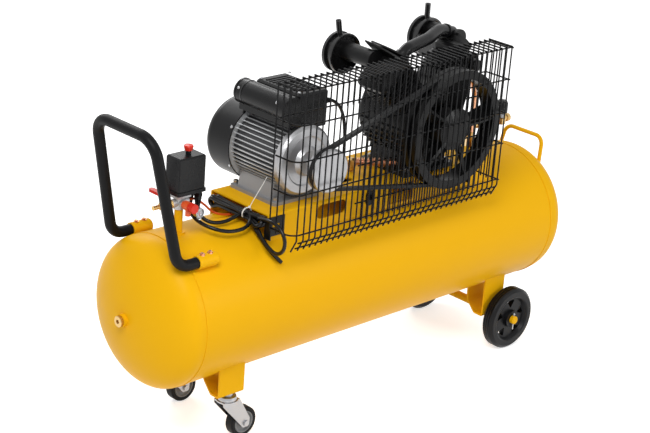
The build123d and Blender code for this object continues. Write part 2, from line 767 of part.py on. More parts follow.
# ====================================================================== pump
def head_spot(side, over, inward, y=CYL_Y):
    """A point over the crank axis along one cylinder, moved towards the other."""
    turn = math.radians(90 - side * CYL_TILT)
    up = Vector(math.cos(turn), 0, math.sin(turn))
    across = Vector(-side * math.sin(turn), 0, side * math.cos(turn))
    return Vector(PUMP_X, y, PUMP_Z) + up * over + across * inward


def tilted(side, height, y=CYL_Y):
    """Plane across one cylinder; local x is along +Y, local y runs outward."""
    up = head_spot(side, 1, 0, y) - head_spot(side, 0, 0, y)
    return Plane(origin=head_spot(side, height, 0, y), x_dir=(0, 1, 0), z_dir=up)


def port_spot(side, y):
    """Middle of one intake port at a place along Y."""
    row = (side + 1) // 2
    return head_spot(side, HEAD_TOP + PORT_LIFT[row], PORT_IN[row], y)


with BuildPart() as crankcase:
    with BuildSketch(along_y(PUMP_X, PUMP_Z, CRANK_Y1)):
        Circle(CASE_R)
    extrude(amount=CRANK_LEN)
    fillet(crankcase.edges().filter_by(GeomType.CIRCLE), 12)
    with BuildSketch(along_y(PUMP_X, PUMP_Z, CRANK_Y1 - 14)):
        with PolarLocations(CASE_R, 7, start_angle=186, angular_range=72):
            Rectangle(2 * CASE_RIB, FIN_T)
        with PolarLocations(CASE_R, 7, start_angle=-78, angular_range=72):
            Rectangle(2 * CASE_RIB, FIN_T)
    extrude(amount=CRANK_LEN - 30)
    with BuildSketch(along_y(PUMP_X, PUMP_Z, CRANK_Y0 + 2)):
        Circle(50)
    extrude(amount=8)
    with BuildSketch(along_y(PUMP_X, PUMP_Z, CRANK_Y0 - 5)):
        with PolarLocations(42, 6):
            RegularPolygon(5, 6)
    extrude(amount=4)
    for side in (-1, 1):
        with BuildSketch(tilted(side, CASE_R - 40)):
            RectangleRounded(2 * FIN_HALF - 12, 2 * FIN_HALF - 12, 18)
        extrude(amount=PAD - CASE_R + 40)
    with BuildSketch(along_y(PUMP_X, 0, CRANK_Y1 - 22)):
        with BuildLine():
            Polyline(
                (-70, PUMP_Z - 60),
                (-82, DECK_Z + FOOT_T - 1),
                (82, DECK_Z + FOOT_T - 1),
                (70, PUMP_Z - 60),
                close=True,
            )
        make_face()
    extrude(amount=CRANK_LEN - 44)
    with BuildSketch(Plane.XY.offset(DECK_Z)):
        with Locations((PUMP_X, CRANK_MID)):
            RectangleRounded(FOOT_PITCH[0] + 40, FOOT_PITCH[1] + 38, 10)
    extrude(amount=FOOT_T)
    with Locations((PUMP_X, CRANK_MID, DECK_Z + FOOT_T)):
        with GridLocations(*FOOT_PITCH, 2, 2):
            Cylinder(12, 30, align=(Align.CENTER, Align.CENTER, Align.MIN), mode=Mode.SUBTRACT)
            Cylinder(5.5, 60, mode=Mode.SUBTRACT)
    with BuildSketch(along_y(PUMP_X, PUMP_Z, CRANK_Y1 + 6)):
        Circle(CASE_R - 30)
    extrude(amount=8)
    with BuildSketch(along_y(PUMP_X, PUMP_Z, CRANK_Y1 + 10)):
        with PolarLocations(CASE_R - 41, 6):
            RegularPolygon(6, 6)
    extrude(amount=5)
    with BuildSketch(along_y(PUMP_X, PUMP_Z, CRANK_Y0 + 61)):
        Circle(CRANK_R + RUN_FIT)
    extrude(amount=100, mode=Mode.SUBTRACT)
save(crankcase, "crankcase")

FIN_PITCH = (CYL_TOP - PAD - 2) / FIN_COUNT
with BuildPart() as cylinders:
    for side in (-1, 1):
        with BuildSketch(tilted(side, PAD)):
            Circle(CYL_R)
        extrude(amount=CYL_TOP - PAD)
        for fin in range(FIN_COUNT):
            with BuildSketch(tilted(side, PAD + 5 + FIN_PITCH * fin)):
                RectangleRounded(2 * FIN_HALF, 2 * FIN_HALF, 26)
            extrude(amount=FIN_T)
save(cylinders, "cylinders")

BOSS_OVER = HEAD_TOP - 23       # outlet boss on the inner side of the near head
BOSS_Y = CYL_Y - 20
BOSS_END = HEAD_HALF + 8


def head_blade(side, inward, tall, back):
    """An upright cooling blade, tallest at its back tip and swept down to the front."""
    front = CYL_Y - HEAD_LONG / 2 + 3
    root = head_spot(side, HEAD_TOP - 6, inward, 0)
    across = (root - head_spot(side, HEAD_TOP - 6, 0, 0)).normalized()
    with BuildSketch(Plane(origin=root, x_dir=(0, 1, 0), z_dir=across * -side)) as blade:
        with BuildLine():
            tip = (back, tall + 6)
            Line((front, 0), (back - 12, 0))
            Line((back - 12, 0), tip)
            ThreePointArc(tip, ((front + back) / 2 - 4, 0.72 * tall + 6), (front, 12))
            Line((front, 12), (front, 0))
        make_face()
    extrude(blade.sketch, amount=2.2, both=True)


with BuildPart() as heads:
    for side in (-1, 1):
        with BuildSketch(tilted(side, CYL_TOP)):
            RectangleRounded(HEAD_LONG, 2 * HEAD_HALF, 22)
        extrude(amount=HEAD_TOP - CYL_TOP)
    chamfer(heads.faces().sort_by(Axis.Z)[-2:].edges(), HEAD_BEVEL)
    for side in (-1, 1):
        for rib in (-34, -22, -10):
            with BuildSketch(tilted(side, HEAD_TOP - 4)):
                with Locations((0, side * rib)):
                    Rectangle(HEAD_LONG - 30, 3.6)
            extrude(amount=13)
        port = port_spot(side, FILTER_Y0 + 6)
        with BuildSketch(along_y(port.X, port.Z, port.Y)):
            Circle(PORT_R)
        extrude(amount=FILTER_Y0 + 6 - PORT_Y0)
        with BuildSketch(along_y(port.X, port.Z, PORT_Y0 + 8)):
            Circle(PORT_R + 2.5)
        extrude(amount=8)
    for inward, tall in ((38, 47), (52, 26)):
        head_blade(-1, inward, tall, CYL_Y + HEAD_LONG / 2 - 2)
    for inward, tall in ((34, 30), (42, 18)):
        head_blade(1, inward, tall, PORT_Y0)
    boss = head_spot(-1, BOSS_OVER, HEAD_HALF - 14, BOSS_Y)
    boss_end = head_spot(-1, BOSS_OVER, BOSS_END, BOSS_Y)
    with BuildSketch(Plane(origin=boss, z_dir=boss_end - boss)):
        Circle(PIPE_R + 3)
    extrude(amount=BOSS_END - HEAD_HALF + 14)
    outlet = head_spot(1, (CYL_TOP + HEAD_TOP) / 2, -12)
    with BuildSketch(along_y(outlet.X, outlet.Z, CYL_Y - HEAD_LONG / 2 + 8)):
        Circle(OUTLET_R)
    extrude(amount=22)
save(heads, "heads")

with BuildPart() as air_filters:
    for side in (-1, 1):
        middle = head_spot(side, FILTER_D, 0, 0)
        with BuildSketch(Plane(origin=middle, x_dir=(0, 1, 0), z_dir=(1, 0, 0))):
            with BuildLine():
                Polyline(
                    (FILTER_Y0 + 6, 0),
                    (FILTER_Y0 + 6, FILTER_R - 8),
                    (FILTER_Y0, FILTER_R - 6),
                    (FILTER_Y0, FILTER_R - 1),
                    (FILTER_Y0 + 3, FILTER_R),
                    (FILTER_Y0 + 9, FILTER_R),
                    (FILTER_Y0 + 11, FILTER_R - 8),
                    (FILTER_Y0 + 27, FILTER_R - 8),
                    (FILTER_Y0 + 29, FILTER_R),
                    (FILTER_Y0 + 37, FILTER_R),
                    (FILTER_Y0 + 42, FILTER_R - 5),
                    (FILTER_Y0 + 42, 0),
                    close=True,
                )
            make_face()
        revolve(axis=Axis((middle.X, 0, middle.Z), (0, 1, 0)))
        lean = math.radians(-12 if side < 0 else 0)
        rise = Vector(math.sin(lean), 0, math.cos(lean))
        neck = middle + Vector(0, FILTER_Y0 + 19, 0)
        snorkel = Plane(origin=neck, x_dir=(0, 1, 0), z_dir=rise)
        with BuildSketch(snorkel.offset(FILTER_R - 14)):
            Circle(8)
        extrude(amount=52)
        with BuildSketch(snorkel.offset(FILTER_R - 2)):
            Circle(5)
        extrude(amount=60, mode=Mode.SUBTRACT)
save(air_filters, "air_filters")

far_port = port_spot(1, 2)
with BuildPart() as transfer_pipe:
    with BuildLine() as route:
        FilletPolyline(
            boss_end,
            head_spot(-1, BOSS_OVER, BOSS_END + 16, BOSS_Y),
            (PUMP_X + 26, CYL_Y + 4, PUMP_Z + 211),
            (PUMP_X + 101, -8, PUMP_Z + 219),
            (far_port.X, far_port.Y, far_port.Z + 13),
            radius=(34, 120, 100),
        )
    with BuildSketch(route.line ^ 0):
        Circle(PIPE_R)
    sweep()
    with BuildSketch(route.line ^ 0.86):
        Circle(PIPE_R + 3)
    extrude(amount=9)
    with Locations(Location((far_port.X, far_port.Y, far_port.Z), (90, 0, 0))):
        Cylinder(PORT_R, 120, mode=Mode.SUBTRACT)
save(transfer_pipe, "transfer_pipe")

# ============================================================ discharge line
VALVE_X = 486
with BuildPart() as check_valve:
    with Locations((VALVE_X, 0, TANK_Z + TANK_R + 8)):
        Cylinder(17, 24)
    with Locations(Location((0, 0, TANK_Z), (0, 90, 0))):
        Cylinder(TANK_R, 4 * SEAM_X, mode=Mode.SUBTRACT)
    with BuildSketch(Plane.XY.offset(TANK_Z + TANK_R + 20)):
        with Locations((VALVE_X, 0)):
            RegularPolygon(15, 6)
    extrude(amount=34)
    with Locations((VALVE_X, 0, TANK_Z + TANK_R + 62)):
        Cylinder(11, 16)
save(check_valve, "check_valve")

with BuildPart() as discharge_pipe:
    with BuildLine() as route:
        FilletPolyline(
            (VALVE_X, 0, TANK_Z + TANK_R + 70),
            (VALVE_X, 0, TANK_Z + TANK_R + 180),
            head_spot(1, (CYL_TOP + HEAD_TOP) / 2, -HEAD_HALF - 50),
            head_spot(1, (CYL_TOP + HEAD_TOP) / 2, -HEAD_HALF),
            radius=(60, 60),
        )
    with BuildSketch(route.line ^ 0):
        Circle(8)
    sweep()
    with Locations((VALVE_X, 0, TANK_Z + TANK_R + 112)):
        Cylinder(14, 12)
save(discharge_pipe, "discharge_pipe")

# ====================================================================== cage
def bar(*points):
    """One welded wire along a line or an open chain of lines."""
    with BuildPart() as wire:
        with BuildLine() as path:
            Polyline(*points)
        with BuildSketch(path.line ^ 0):
            RegularPolygon(WIRE / 2, 8, major_radius=False, rotation=22.5)
        sweep(transition=Transition.RIGHT)
    return wire.part


def save_group(pieces, name):
    group = Compound(children=pieces)
    group.label = name
    export_step(group, "parts/" + name + ".step")


GAPS = 38
PITCH = (CAGE_X1 - CAGE_X0) / GAPS
RAIL_LOW = CAGE_RAILS[-1]
UPRIGHT_TOP = CAGE_TOP - WIRE / 2
BACK_X0 = -106          # the back panel stops short of the motor
SHAFT_CLEAR = 46        # half width of the opening round the crankshaft
BACK_END = TANK_Z + 163

BEND_X = CAGE_X0 + CAGE_BEND        # middle of the rounded corner
BEND_Y = CAGE_Y0 + CAGE_BEND
RIGHT_END = CAGE_X1 + WIRE / 2


def on_bend(x):
    """Y of the front upright at one place along X, round the bend where it has one."""
    if x >= BEND_X:
        return CAGE_Y0
    reach = CAGE_BEND + 0.15
    return BEND_Y - math.sqrt(reach**2 - (BEND_X - x) ** 2)


upright = bar(
    (0, CAGE_LIP[0] - CAGE_Y0, CAGE_LIP[1]),
    (0, 0, RAIL_LOW - 14),
    (0, 0, UPRIGHT_TOP),
)
front = []
for n in range(1, GAPS + 1):
    x = CAGE_X0 + PITCH * n
    front.append(Pos(x, on_bend(x), 0) * upright)
for z in (*CAGE_RAILS, CAGE_TOP - WIRE):
    front.append(bar((BEND_X, CAGE_Y0 + WIRE, z), (RIGHT_END, CAGE_Y0 + WIRE, z)))
slant = math.atan2(CAGE_LIP[0] - CAGE_Y0, RAIL_LOW - 14 - CAGE_LIP[1])
for share in (0.12, 0.62):
    y = CAGE_LIP[0] + (CAGE_Y0 - CAGE_LIP[0]) * share + WIRE * math.cos(slant)
    z = CAGE_LIP[1] + (RAIL_LOW - 14 - CAGE_LIP[1]) * share + WIRE * math.sin(slant)
    lip = bar((BEND_X, 0, 0), (RIGHT_END, 0, 0))
    front.append(Pos(0, y, z) * (Rot(X=math.degrees(slant)) * lip))
save_group(front, "cage_front")

top = []
for n in range(GAPS + 1):
    x = CAGE_X0 + PITCH * n
    start = BEND_Y if n == 0 else on_bend(x) - WIRE / 2
    top.append(bar((x, start, CAGE_TOP), (x, CAGE_Y1 + WIRE / 2, CAGE_TOP)))
save_group(top, "cage_top")

back = []
for n in range(GAPS + 1):
    x = CAGE_X0 + PITCH * n
    if x < BACK_X0:
        back.append(bar((x, CAGE_Y1, CAGE_RAILS[0] - 8), (x, CAGE_Y1, UPRIGHT_TOP)))
    elif abs(x - PUMP_X) < SHAFT_CLEAR:
        back.append(bar((x, CAGE_Y1, BACK_END), (x, CAGE_Y1, CAGE_RAILS[2] + 2)))
        back.append(bar((x, CAGE_Y1, CAGE_RAILS[1] + 20), (x, CAGE_Y1, UPRIGHT_TOP)))
    else:
        back.append(bar((x, CAGE_Y1, BACK_END), (x, CAGE_Y1, UPRIGHT_TOP)))
LEFT_END = CAGE_X0 - WIRE / 2
crown = CAGE_TOP - WIRE
back.append(bar((LEFT_END, CAGE_Y1 - WIRE, crown), (RIGHT_END, CAGE_Y1 - WIRE, crown)))
z = CAGE_RAILS[0]
back.append(bar((LEFT_END, CAGE_Y1 + WIRE, z), (RIGHT_END, CAGE_Y1 + WIRE, z)))
for z in (CAGE_RAILS[1] + 28, CAGE_RAILS[2], RAIL_LOW, BACK_END + 4):
    back.append(bar((BACK_X0, CAGE_Y1 + WIRE, z), (RIGHT_END, CAGE_Y1 + WIRE, z)))
save_group(back, "cage_back")

def bent_rail(z, back_end):
    """The rounded corner of one rail and its run along the end beside the motor."""
    with BuildPart() as wire:
        with BuildLine() as path:
            inset = CAGE_BEND - WIRE
            CenterArc((BEND_X, BEND_Y), inset, -90, -90)
            Line((CAGE_X0 + WIRE, BEND_Y), (CAGE_X0 + WIRE, back_end))
        route = Pos(0, 0, z) * path.line
        with BuildSketch(route ^ 0):
            RegularPolygon(WIRE / 2, 8, major_radius=False, rotation=22.5)
        sweep(path=route)
    return wire.part


sides = []
for z in (*CAGE_RAILS, crown):
    back_end = CAGE_Y1 - 1.5 * WIRE if z == crown else CAGE_Y1 - WIRE / 2
    sides.append(bent_rail(z, back_end))
    sides.append(bar((CAGE_X1 + WIRE, CAGE_Y0 - WIRE / 2, z), (CAGE_X1 + WIRE, CAGE_Y1 + WIRE / 2, z)))
for n in (1, 2, 3):
    y = CAGE_Y0 + (CAGE_Y1 - CAGE_Y0) * n / 4
    sides.append(bar((CAGE_X1, y, RAIL_LOW - 6), (CAGE_X1, y, UPRIGHT_TOP)))
for n in (0, 1):
    y = BEND_Y + (CAGE_Y1 - BEND_Y) * n / 2
    sides.append(bar((CAGE_X0, y, RAIL_LOW - 6), (CAGE_X0, y, UPRIGHT_TOP)))
sides.append(bar((CAGE_X0, CAGE_Y1, RAIL_LOW - 6), (CAGE_X0, CAGE_Y1, CAGE_RAILS[0] - 8)))
save_group(sides, "cage_ends")

TAB_Z = DECK_Z - 33
with BuildPart() as cage_brackets:
    skirt = -DECK_Y
    for left, right, post, tip in (
        (CAGE_X0 + 2, CAGE_X0 + 69, CAGE_X0 + 2, CAGE_Y1 - WIRE / 2),
        (CAGE_X1 - 64, CAGE_X1 - 12, CAGE_X1 - 15, CAGE_Y1 + 1.5 * WIRE),
    ):
        with Locations(((left + right) / 2, skirt - 1.5, TAB_Z)):
            Box(right - left, 3, 52)
        with Locations((post + 1.5, (skirt + tip) / 2, TAB_Z)):
            Box(3, skirt - tip, 52)
    with BuildSketch(along_y(-36, TAB_Z + 6, skirt)):
        SlotOverall(44, 28, rotation=90)
    extrude(amount=3)
    with Locations((-36, (skirt + CAGE_Y1 + 1.5 * WIRE) / 2, RAIL_LOW)):
        Box(10, skirt - CAGE_Y1 - 1.5 * WIRE, 8)
    with BuildSketch(along_y(-372, TAB_Z + 2, skirt + 5)):
        SlotOverall(26, 9)
    extrude(amount=10, mode=Mode.SUBTRACT)
save(cage_brackets, "cage_brackets")

with BuildPart() as hold_down_bolts:
    for middle, spread, seat in (
        ((PUMP_X, CRANK_MID), FOOT_PITCH, DECK_Z + FOOT_T),
        ((MOTOR_X, BASE_MID), BASE_PITCH, DECK_Z + BASE_T),
    ):
        with BuildSketch(Plane.XY.offset(seat)):
            with Locations(middle):
                with GridLocations(*spread, 2, 2):
                    RegularPolygon(8, 6)
        extrude(amount=8)
        with BuildSketch(Plane.XY.offset(DECK_Z - DECK_T - 8)):
            with Locations(middle):
                with GridLocations(*spread, 2, 2):
                    Circle(5.4)
        extrude(amount=seat + 22 - DECK_Z)
save(hold_down_bolts, "hold_down_bolts")

# ============================================================== switch group
with BuildPart() as standpipe:
    with Locations((STAND_X, 0, (TANK_Z + TANK_R + PIPE_TOP) / 2 - 6)):
        Cylinder(STAND_R, PIPE_TOP - TANK_Z - TANK_R + 12)
    with Locations((STAND_X, 0, TANK_Z + TANK_R)):
        Cylinder(19, 6)
    with Locations(Location((0, 0, TANK_Z), (0, 90, 0))):
        Cylinder(TANK_R, 4 * SEAM_X, mode=Mode.SUBTRACT)
save(standpipe, "standpipe")

MANIFOLD_Z = PIPE_TOP + 16
with BuildPart() as manifold:
    with Locations((STAND_X, 0, (PIPE_TOP + SWITCH_Z) / 2)):
        Cylinder(15, SWITCH_Z - PIPE_TOP)
    with Locations((STAND_X, 0, SWITCH_Z - 5)):
        Box(44, 40, 10)
    with Locations(Location((STAND_X, 0, MANIFOLD_Z), (0, 90, 0))):
        Cylinder(11, 50)
    with Locations(Location((STAND_X, -10, MANIFOLD_Z), (90, 0, 0))):
        Cylinder(11, 20)
save(manifold, "manifold")

SWITCH_X = -583
GLAND_X = SWITCH_X + 31
with BuildPart() as switch_base:
    with BuildSketch(Plane.XY.offset(SWITCH_Z)):
        with Locations((SWITCH_X, 0)):
            RectangleRounded(90, 60, 4)
    extrude(amount=9)
    for y in (-15, 15):
        with Locations((GLAND_X, y, SWITCH_Z - 11)):
            Cylinder(9.5, 22)
        with BuildSketch(Plane.XY.offset(SWITCH_Z - 14)):
            with Locations((GLAND_X, y)):
                RegularPolygon(11.5, 6)
        extrude(amount=8)
save(switch_base, "switch_base")

KNOB_X = SWITCH_X + 6
with BuildPart() as switch_cover:
    with BuildSketch(Plane.XY.offset(SWITCH_Z + 9)):
        with Locations((SWITCH_X, 0)):
            RectangleRounded(85, 55, 4)
    extrude(amount=88)
    chamfer(switch_cover.faces().sort_by(Axis.Z)[-1].edges(), 4)
    with Locations((KNOB_X, 0, SWITCH_Z + 98)):
        Cylinder(7 + RUN_FIT, 30, mode=Mode.SUBTRACT)
save(switch_cover, "switch_cover")

with BuildPart() as switch_knob:
    with BuildSketch(Plane(origin=(KNOB_X, 0, SWITCH_Z + 97), x_dir=(1, 0, 0), z_dir=(0, -1, 0))):
        with BuildLine():
            Polyline(
                (0, -9),
                (7, -9),
                (7, 8),
                (10, 10),
                (12.5, 20),
                (11, 23),
                (0, 24),
                close=True,
            )
        make_face()
    revolve(axis=Axis((KNOB_X, 0, 0), (0, 0, 1)))
save(switch_knob, "switch_knob")

BALL_X = STAND_X - 42
with BuildPart() as ball_valve:
    with BuildSketch(along_x(BALL_X + 17, 0, MANIFOLD_Z)):
        RegularPolygon(12, 6)
    extrude(amount=-8)
    with BuildSketch(along_x(BALL_X + 9, 0, MANIFOLD_Z)):
        Circle(11)
    extrude(amount=-18)
    with BuildSketch(along_x(BALL_X - 9, 0, MANIFOLD_Z)):
        RegularPolygon(12, 6)
    extrude(amount=-7)
    for n in range(4):
        with BuildSketch(along_x(BALL_X - 16 - 6 * n, 0, MANIFOLD_Z)):
            Circle(5)
        extrude(amount=-6, taper=-8)
    with Locations((BALL_X, 0, MANIFOLD_Z + 13)):
        Cylinder(5, 10)
    with Locations((BALL_X, 0, MANIFOLD_Z + 23)):
        Cylinder(3, 12)
save(ball_valve, "ball_valve")

LEVER_Z = MANIFOLD_Z + 18 + GAP
with BuildPart() as valve_lever:
    with BuildSketch(Plane.XY.offset(LEVER_Z)):
        with Locations((BALL_X, 0)):
            Circle(8)
        with Locations((BALL_X, 22)):
            Rectangle(9, 44)
    extrude(amount=4)
    with BuildSketch(Plane.XY.offset(LEVER_Z)):
        with Locations((BALL_X, 42)):
            SlotOverall(44, 15, rotation=90)
    extrude(amount=8)
    with BuildSketch(Plane.XY.offset(LEVER_Z)):
        with Locations((BALL_X, 0)):
            Circle(3 + RUN_FIT)
    extrude(amount=8, mode=Mode.SUBTRACT)
save(valve_lever, "valve_lever")

with BuildPart() as regulator_body:
    with BuildSketch(along_y(STAND_X, MANIFOLD_Z, -20)):
        RegularPolygon(11, 6)
    extrude(amount=8)
    with BuildSketch(along_y(STAND_X, MANIFOLD_Z, -28)):
        Circle(12)
    extrude(amount=16)
    with Locations((STAND_X, -36, MANIFOLD_Z - 17)):
        Cylinder(7, 16)
    with BuildSketch(along_y(STAND_X, MANIFOLD_Z, -44)):
        Circle(5)
    extrude(amount=10)
save(regulator_body, "regulator_body")

with BuildPart() as regulator_knob:
    with BuildSketch(along_y(STAND_X, MANIFOLD_Z, -44 - GAP)):
        Circle(12.5)
        with PolarLocations(12.5, 12):
            Circle(1.6, mode=Mode.SUBTRACT)
    extrude(amount=18)
    with BuildSketch(along_y(STAND_X, MANIFOLD_Z, -44)):
        Circle(5 + RUN_FIT)
    extrude(amount=10.4, mode=Mode.SUBTRACT)
save(regulator_knob, "regulator_knob")

GAUGE = (STAND_X + 24, -40, MANIFOLD_Z - 17)
with BuildPart() as gauge_case:
    with BuildSketch(along_y(GAUGE[0], GAUGE[2], GAUGE[1])):
        Circle(13)
    extrude(amount=15)
    with BuildSketch(along_y(GAUGE[0], GAUGE[2], GAUGE[1] - 11)):
        Circle(11)
    extrude(amount=5, mode=Mode.SUBTRACT)
    with Locations(Location((STAND_X + 8.9, -36, MANIFOLD_Z - 17), (0, 90, 0))):
        Cylinder(4, 4)
    with Locations(Location((STAND_X + 17.5, -37, MANIFOLD_Z - 17), (0, 90, 0))):
        Cylinder(4, 17)
    with Locations((STAND_X, -36, MANIFOLD_Z - 17)):
        Cylinder(7, 16, mode=Mode.SUBTRACT)
    with Locations(Location((GAUGE[0], GAUGE[1] - 11.5, GAUGE[2]), (90, 0, 0))):
        Cylinder(1, 1.8)
save(gauge_case, "gauge_case")

with BuildPart() as gauge_needle:
    with BuildSketch(along_y(GAUGE[0], GAUGE[2], GAUGE[1] - 11.3)):
        Circle(2)
        Polygon((-1.2, 0), (1.2, 0), (0.4, -9.5), (-0.4, -9.5), align=None)
        Circle(1 + RUN_FIT, mode=Mode.SUBTRACT)
    extrude(amount=0.8)
save(gauge_needle, "gauge_needle")

# ========================================================== cords and tubing
CORD_R = 5
GLAND_END = SWITCH_Z - 22


def corner_radii(points):
    """Radius of each arc: 0.45 of the shorter run over tan(half the turn)."""
    radii = []
    for a, b, c in zip(points, points[1:], points[2:]):
        one = Vector(*b) - Vector(*a)
        two = Vector(*c) - Vector(*b)
        half = math.radians(one.get_angle(two) / 2)
        radii.append(0.45 * min(one.length, two.length) / math.tan(half))
    return radii


def cord_tube(points, radius, name):
    """A tube along straight runs joined by arcs; prints its radii and volume."""
    radii = corner_radii(points)
    with BuildPart() as tube:
        with BuildLine() as route:
            FilletPolyline(*points, radius=radii)
        with BuildSketch(route.line ^ 0):
            Circle(radius)
        sweep()
    length = sum(edge.length for edge in route.edges())
    share = tube.part.volume / (math.pi * radius**2 * length)
    print(name, "radii", [round(r, 1) for r in radii])
    print(name, "length", round(length, 1), "volume over section times length", round(share, 4))
    return tube.part


HANK_X = (-428, -400)
HANK_Y = (-104, 100)
HANK_Z = (DECK_Z - 25, DECK_Z)
with BuildPart() as cord_hank:
    with BuildSketch(Plane.XY.offset(HANK_Z[0])):
        with Locations((sum(HANK_X) / 2, sum(HANK_Y) / 2)):
            RectangleRounded(HANK_X[1] - HANK_X[0], HANK_Y[1] - HANK_Y[0], 10)
    extrude(amount=HANK_Z[1] - HANK_Z[0])
    fillet(cord_hank.faces().filter_by(Axis.Z).edges(), 5)
save(cord_hank, "cord_hank")

CORD_IN = [
    (GLAND_X, -15, GLAND_END),
    (GLAND_X, -15, GLAND_END - 27),
    (GLAND_X + 12, -20, GLAND_END - 54),
    (GLAND_X + 38, -29, GLAND_END - 70),
    (GLAND_X + 72, -36, GLAND_END - 73),
    (GLAND_X + 104, -38, GLAND_END - 66),
    (GLAND_X + 132, -36, GLAND_END - 60),
]
CORD_OUT = [
    (GLAND_X + 137, -50, GLAND_END - 63),
    (GLAND_X + 133, -77, GLAND_END - 77),
    (GLAND_X + 131, -104, GLAND_END - 96),
    (GLAND_X + 132, -130, GLAND_END - 117),
    (GLAND_X + 143, -151, GLAND_END - 138),
    (GLAND_X + 160, -164, GLAND_END - 159),
]
CORD_LOOP = [
    (GLAND_X + 138, -94, GLAND_END - 58),
    (GLAND_X + 133, -120, GLAND_END - 50),
    (GLAND_X + 126, -147, GLAND_END - 44),
    (GLAND_X + 124, -175, GLAND_END - 44),
    (GLAND_X + 124, -200, GLAND_END - 58),
    (GLAND_X + 124, -212, GLAND_END - 83),
    (GLAND_X + 124, -204, GLAND_END - 110),
    (GLAND_X + 125, -178, GLAND_END - 125),
    (GLAND_X + 126, -148, GLAND_END - 116),
    (GLAND_X + 129, -121, GLAND_END - 103),
    (GLAND_X + 134, -96, GLAND_END - 84),
    (GLAND_X + 138, -72, GLAND_END - 67),
]
with BuildPart() as power_cord:
    add(cord_tube(CORD_IN, CORD_R, "power_cord in"))
    add(cord_tube(CORD_OUT, CORD_R, "power_cord out"))
    add(cord_tube(CORD_LOOP, CORD_R, "power_cord loop"))
    add(cord_hank.part, mode=Mode.SUBTRACT)
save(power_cord, "power_cord")

TIE_Y = -47
TIE_W = 4
with BuildPart() as cord_tie:
    with BuildSketch(along_y(0, 0, TIE_Y + TIE_W / 2)):
        with Locations((sum(HANK_X) / 2, sum(HANK_Z) / 2)):
            RectangleRounded(HANK_X[1] - HANK_X[0] + 3, HANK_Z[1] - HANK_Z[0] + 3, 6.4)
            RectangleRounded(HANK_X[1] - HANK_X[0], HANK_Z[1] - HANK_Z[0], 5, mode=Mode.SUBTRACT)
    extrude(amount=TIE_W)
save(cord_tie, "cord_tie")

BOX_GLAND = (MOTOR_X + 97, -48, MOTOR_Z + 132)
MOTOR_CABLE = [
    BOX_GLAND,
    (BOX_GLAND[0] + 30, -48, BOX_GLAND[2] - 3),
    (BOX_GLAND[0] + 66, -44, BOX_GLAND[2] - 27),
    (BOX_GLAND[0] + 90, -38, BOX_GLAND[2] - 68),
    (BOX_GLAND[0] + 103, -33, BOX_GLAND[2] - 118),
    (BOX_GLAND[0] + 108, -30, BOX_GLAND[2] - 170),
    (BOX_GLAND[0] + 109, -30, BOX_GLAND[2] - 222),
    (BOX_GLAND[0] + 109, -29.5, BOX_GLAND[2] - 270),
]
cable = cord_tube(MOTOR_CABLE, 4.5, "motor_cable")
cable.label = "motor_cable"
export_step(cable, "parts/motor_cable.step")

PILOT_R = 3
PILOT_ROUTE = [
    (STAND_X + 25, 0, MANIFOLD_Z),
    (STAND_X + 50, 0, MANIFOLD_Z),
    (STAND_X + 84, 3, MANIFOLD_Z - 24),
    (STAND_X + 118, 7, MANIFOLD_Z - 56),
    (STAND_X + 160, 8, MANIFOLD_Z - 73),
    (STAND_X + 220, 6, MANIFOLD_Z - 75),
]
with BuildPart() as pilot_tube:
    add(cord_tube(PILOT_ROUTE, PILOT_R, "pilot_tube"))
    with BuildSketch(along_x(PILOT_ROUTE[-1][0], PILOT_ROUTE[-1][1], PILOT_ROUTE[-1][2])):
        Circle(PILOT_R)
    extrude(amount=VALVE_X - PILOT_ROUTE[-1][0])
    with Locations((VALVE_X, 0, TANK_Z + TANK_R)):
        Cylinder(17, 60, mode=Mode.SUBTRACT)
save(pilot_tube, "pilot_tube")
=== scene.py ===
"""Looks of a belt-driven V-twin air compressor, dressed around its packed frame.

Lengths are in metres. X runs along the receiver, -Y is the belt side and +Z is up.
"""

import json
import logging
import math
from dataclasses import dataclass, field
from enum import Enum

import bpy
import numpy as np
from mathutils import Matrix, Vector


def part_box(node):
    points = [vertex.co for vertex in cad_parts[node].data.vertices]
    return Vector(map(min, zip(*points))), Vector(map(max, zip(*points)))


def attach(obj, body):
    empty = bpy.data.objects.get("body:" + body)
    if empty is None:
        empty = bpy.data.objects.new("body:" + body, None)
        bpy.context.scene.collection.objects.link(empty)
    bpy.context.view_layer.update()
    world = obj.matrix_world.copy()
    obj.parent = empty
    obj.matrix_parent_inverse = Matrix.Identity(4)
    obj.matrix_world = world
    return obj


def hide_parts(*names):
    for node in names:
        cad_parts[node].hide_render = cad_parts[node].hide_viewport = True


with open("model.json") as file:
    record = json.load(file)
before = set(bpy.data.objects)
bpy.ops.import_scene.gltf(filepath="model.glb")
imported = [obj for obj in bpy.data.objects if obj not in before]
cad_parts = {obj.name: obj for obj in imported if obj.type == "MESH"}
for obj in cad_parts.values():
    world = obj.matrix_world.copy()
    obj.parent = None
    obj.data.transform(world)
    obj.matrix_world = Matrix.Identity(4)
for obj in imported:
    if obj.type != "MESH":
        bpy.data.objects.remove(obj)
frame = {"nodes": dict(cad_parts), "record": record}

LOG = logging.getLogger("compressor")
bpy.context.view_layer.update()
FIXED = "frame"
EAST = (1, 0, 0)
UP = (0, 0, 1)
SHARP_EDGE = math.radians(38)
Point = Color = tuple[float, float, float]
Profile = list[tuple[float, float]]
Route = list[Point]
Material = bpy.types.Material
Object = bpy.types.Object
Tree = bpy.types.NodeTree
Node = bpy.types.Node
Socket = bpy.types.NodeSocket


# ------------------------------------------------------------------ surfaces
def unit(vectors: np.ndarray) -> np.ndarray:
    """Return the vectors along the last axis, each divided by its length."""
    length = np.linalg.norm(vectors, axis=-1, keepdims=True)
    return vectors / np.maximum(length, 1e-12)


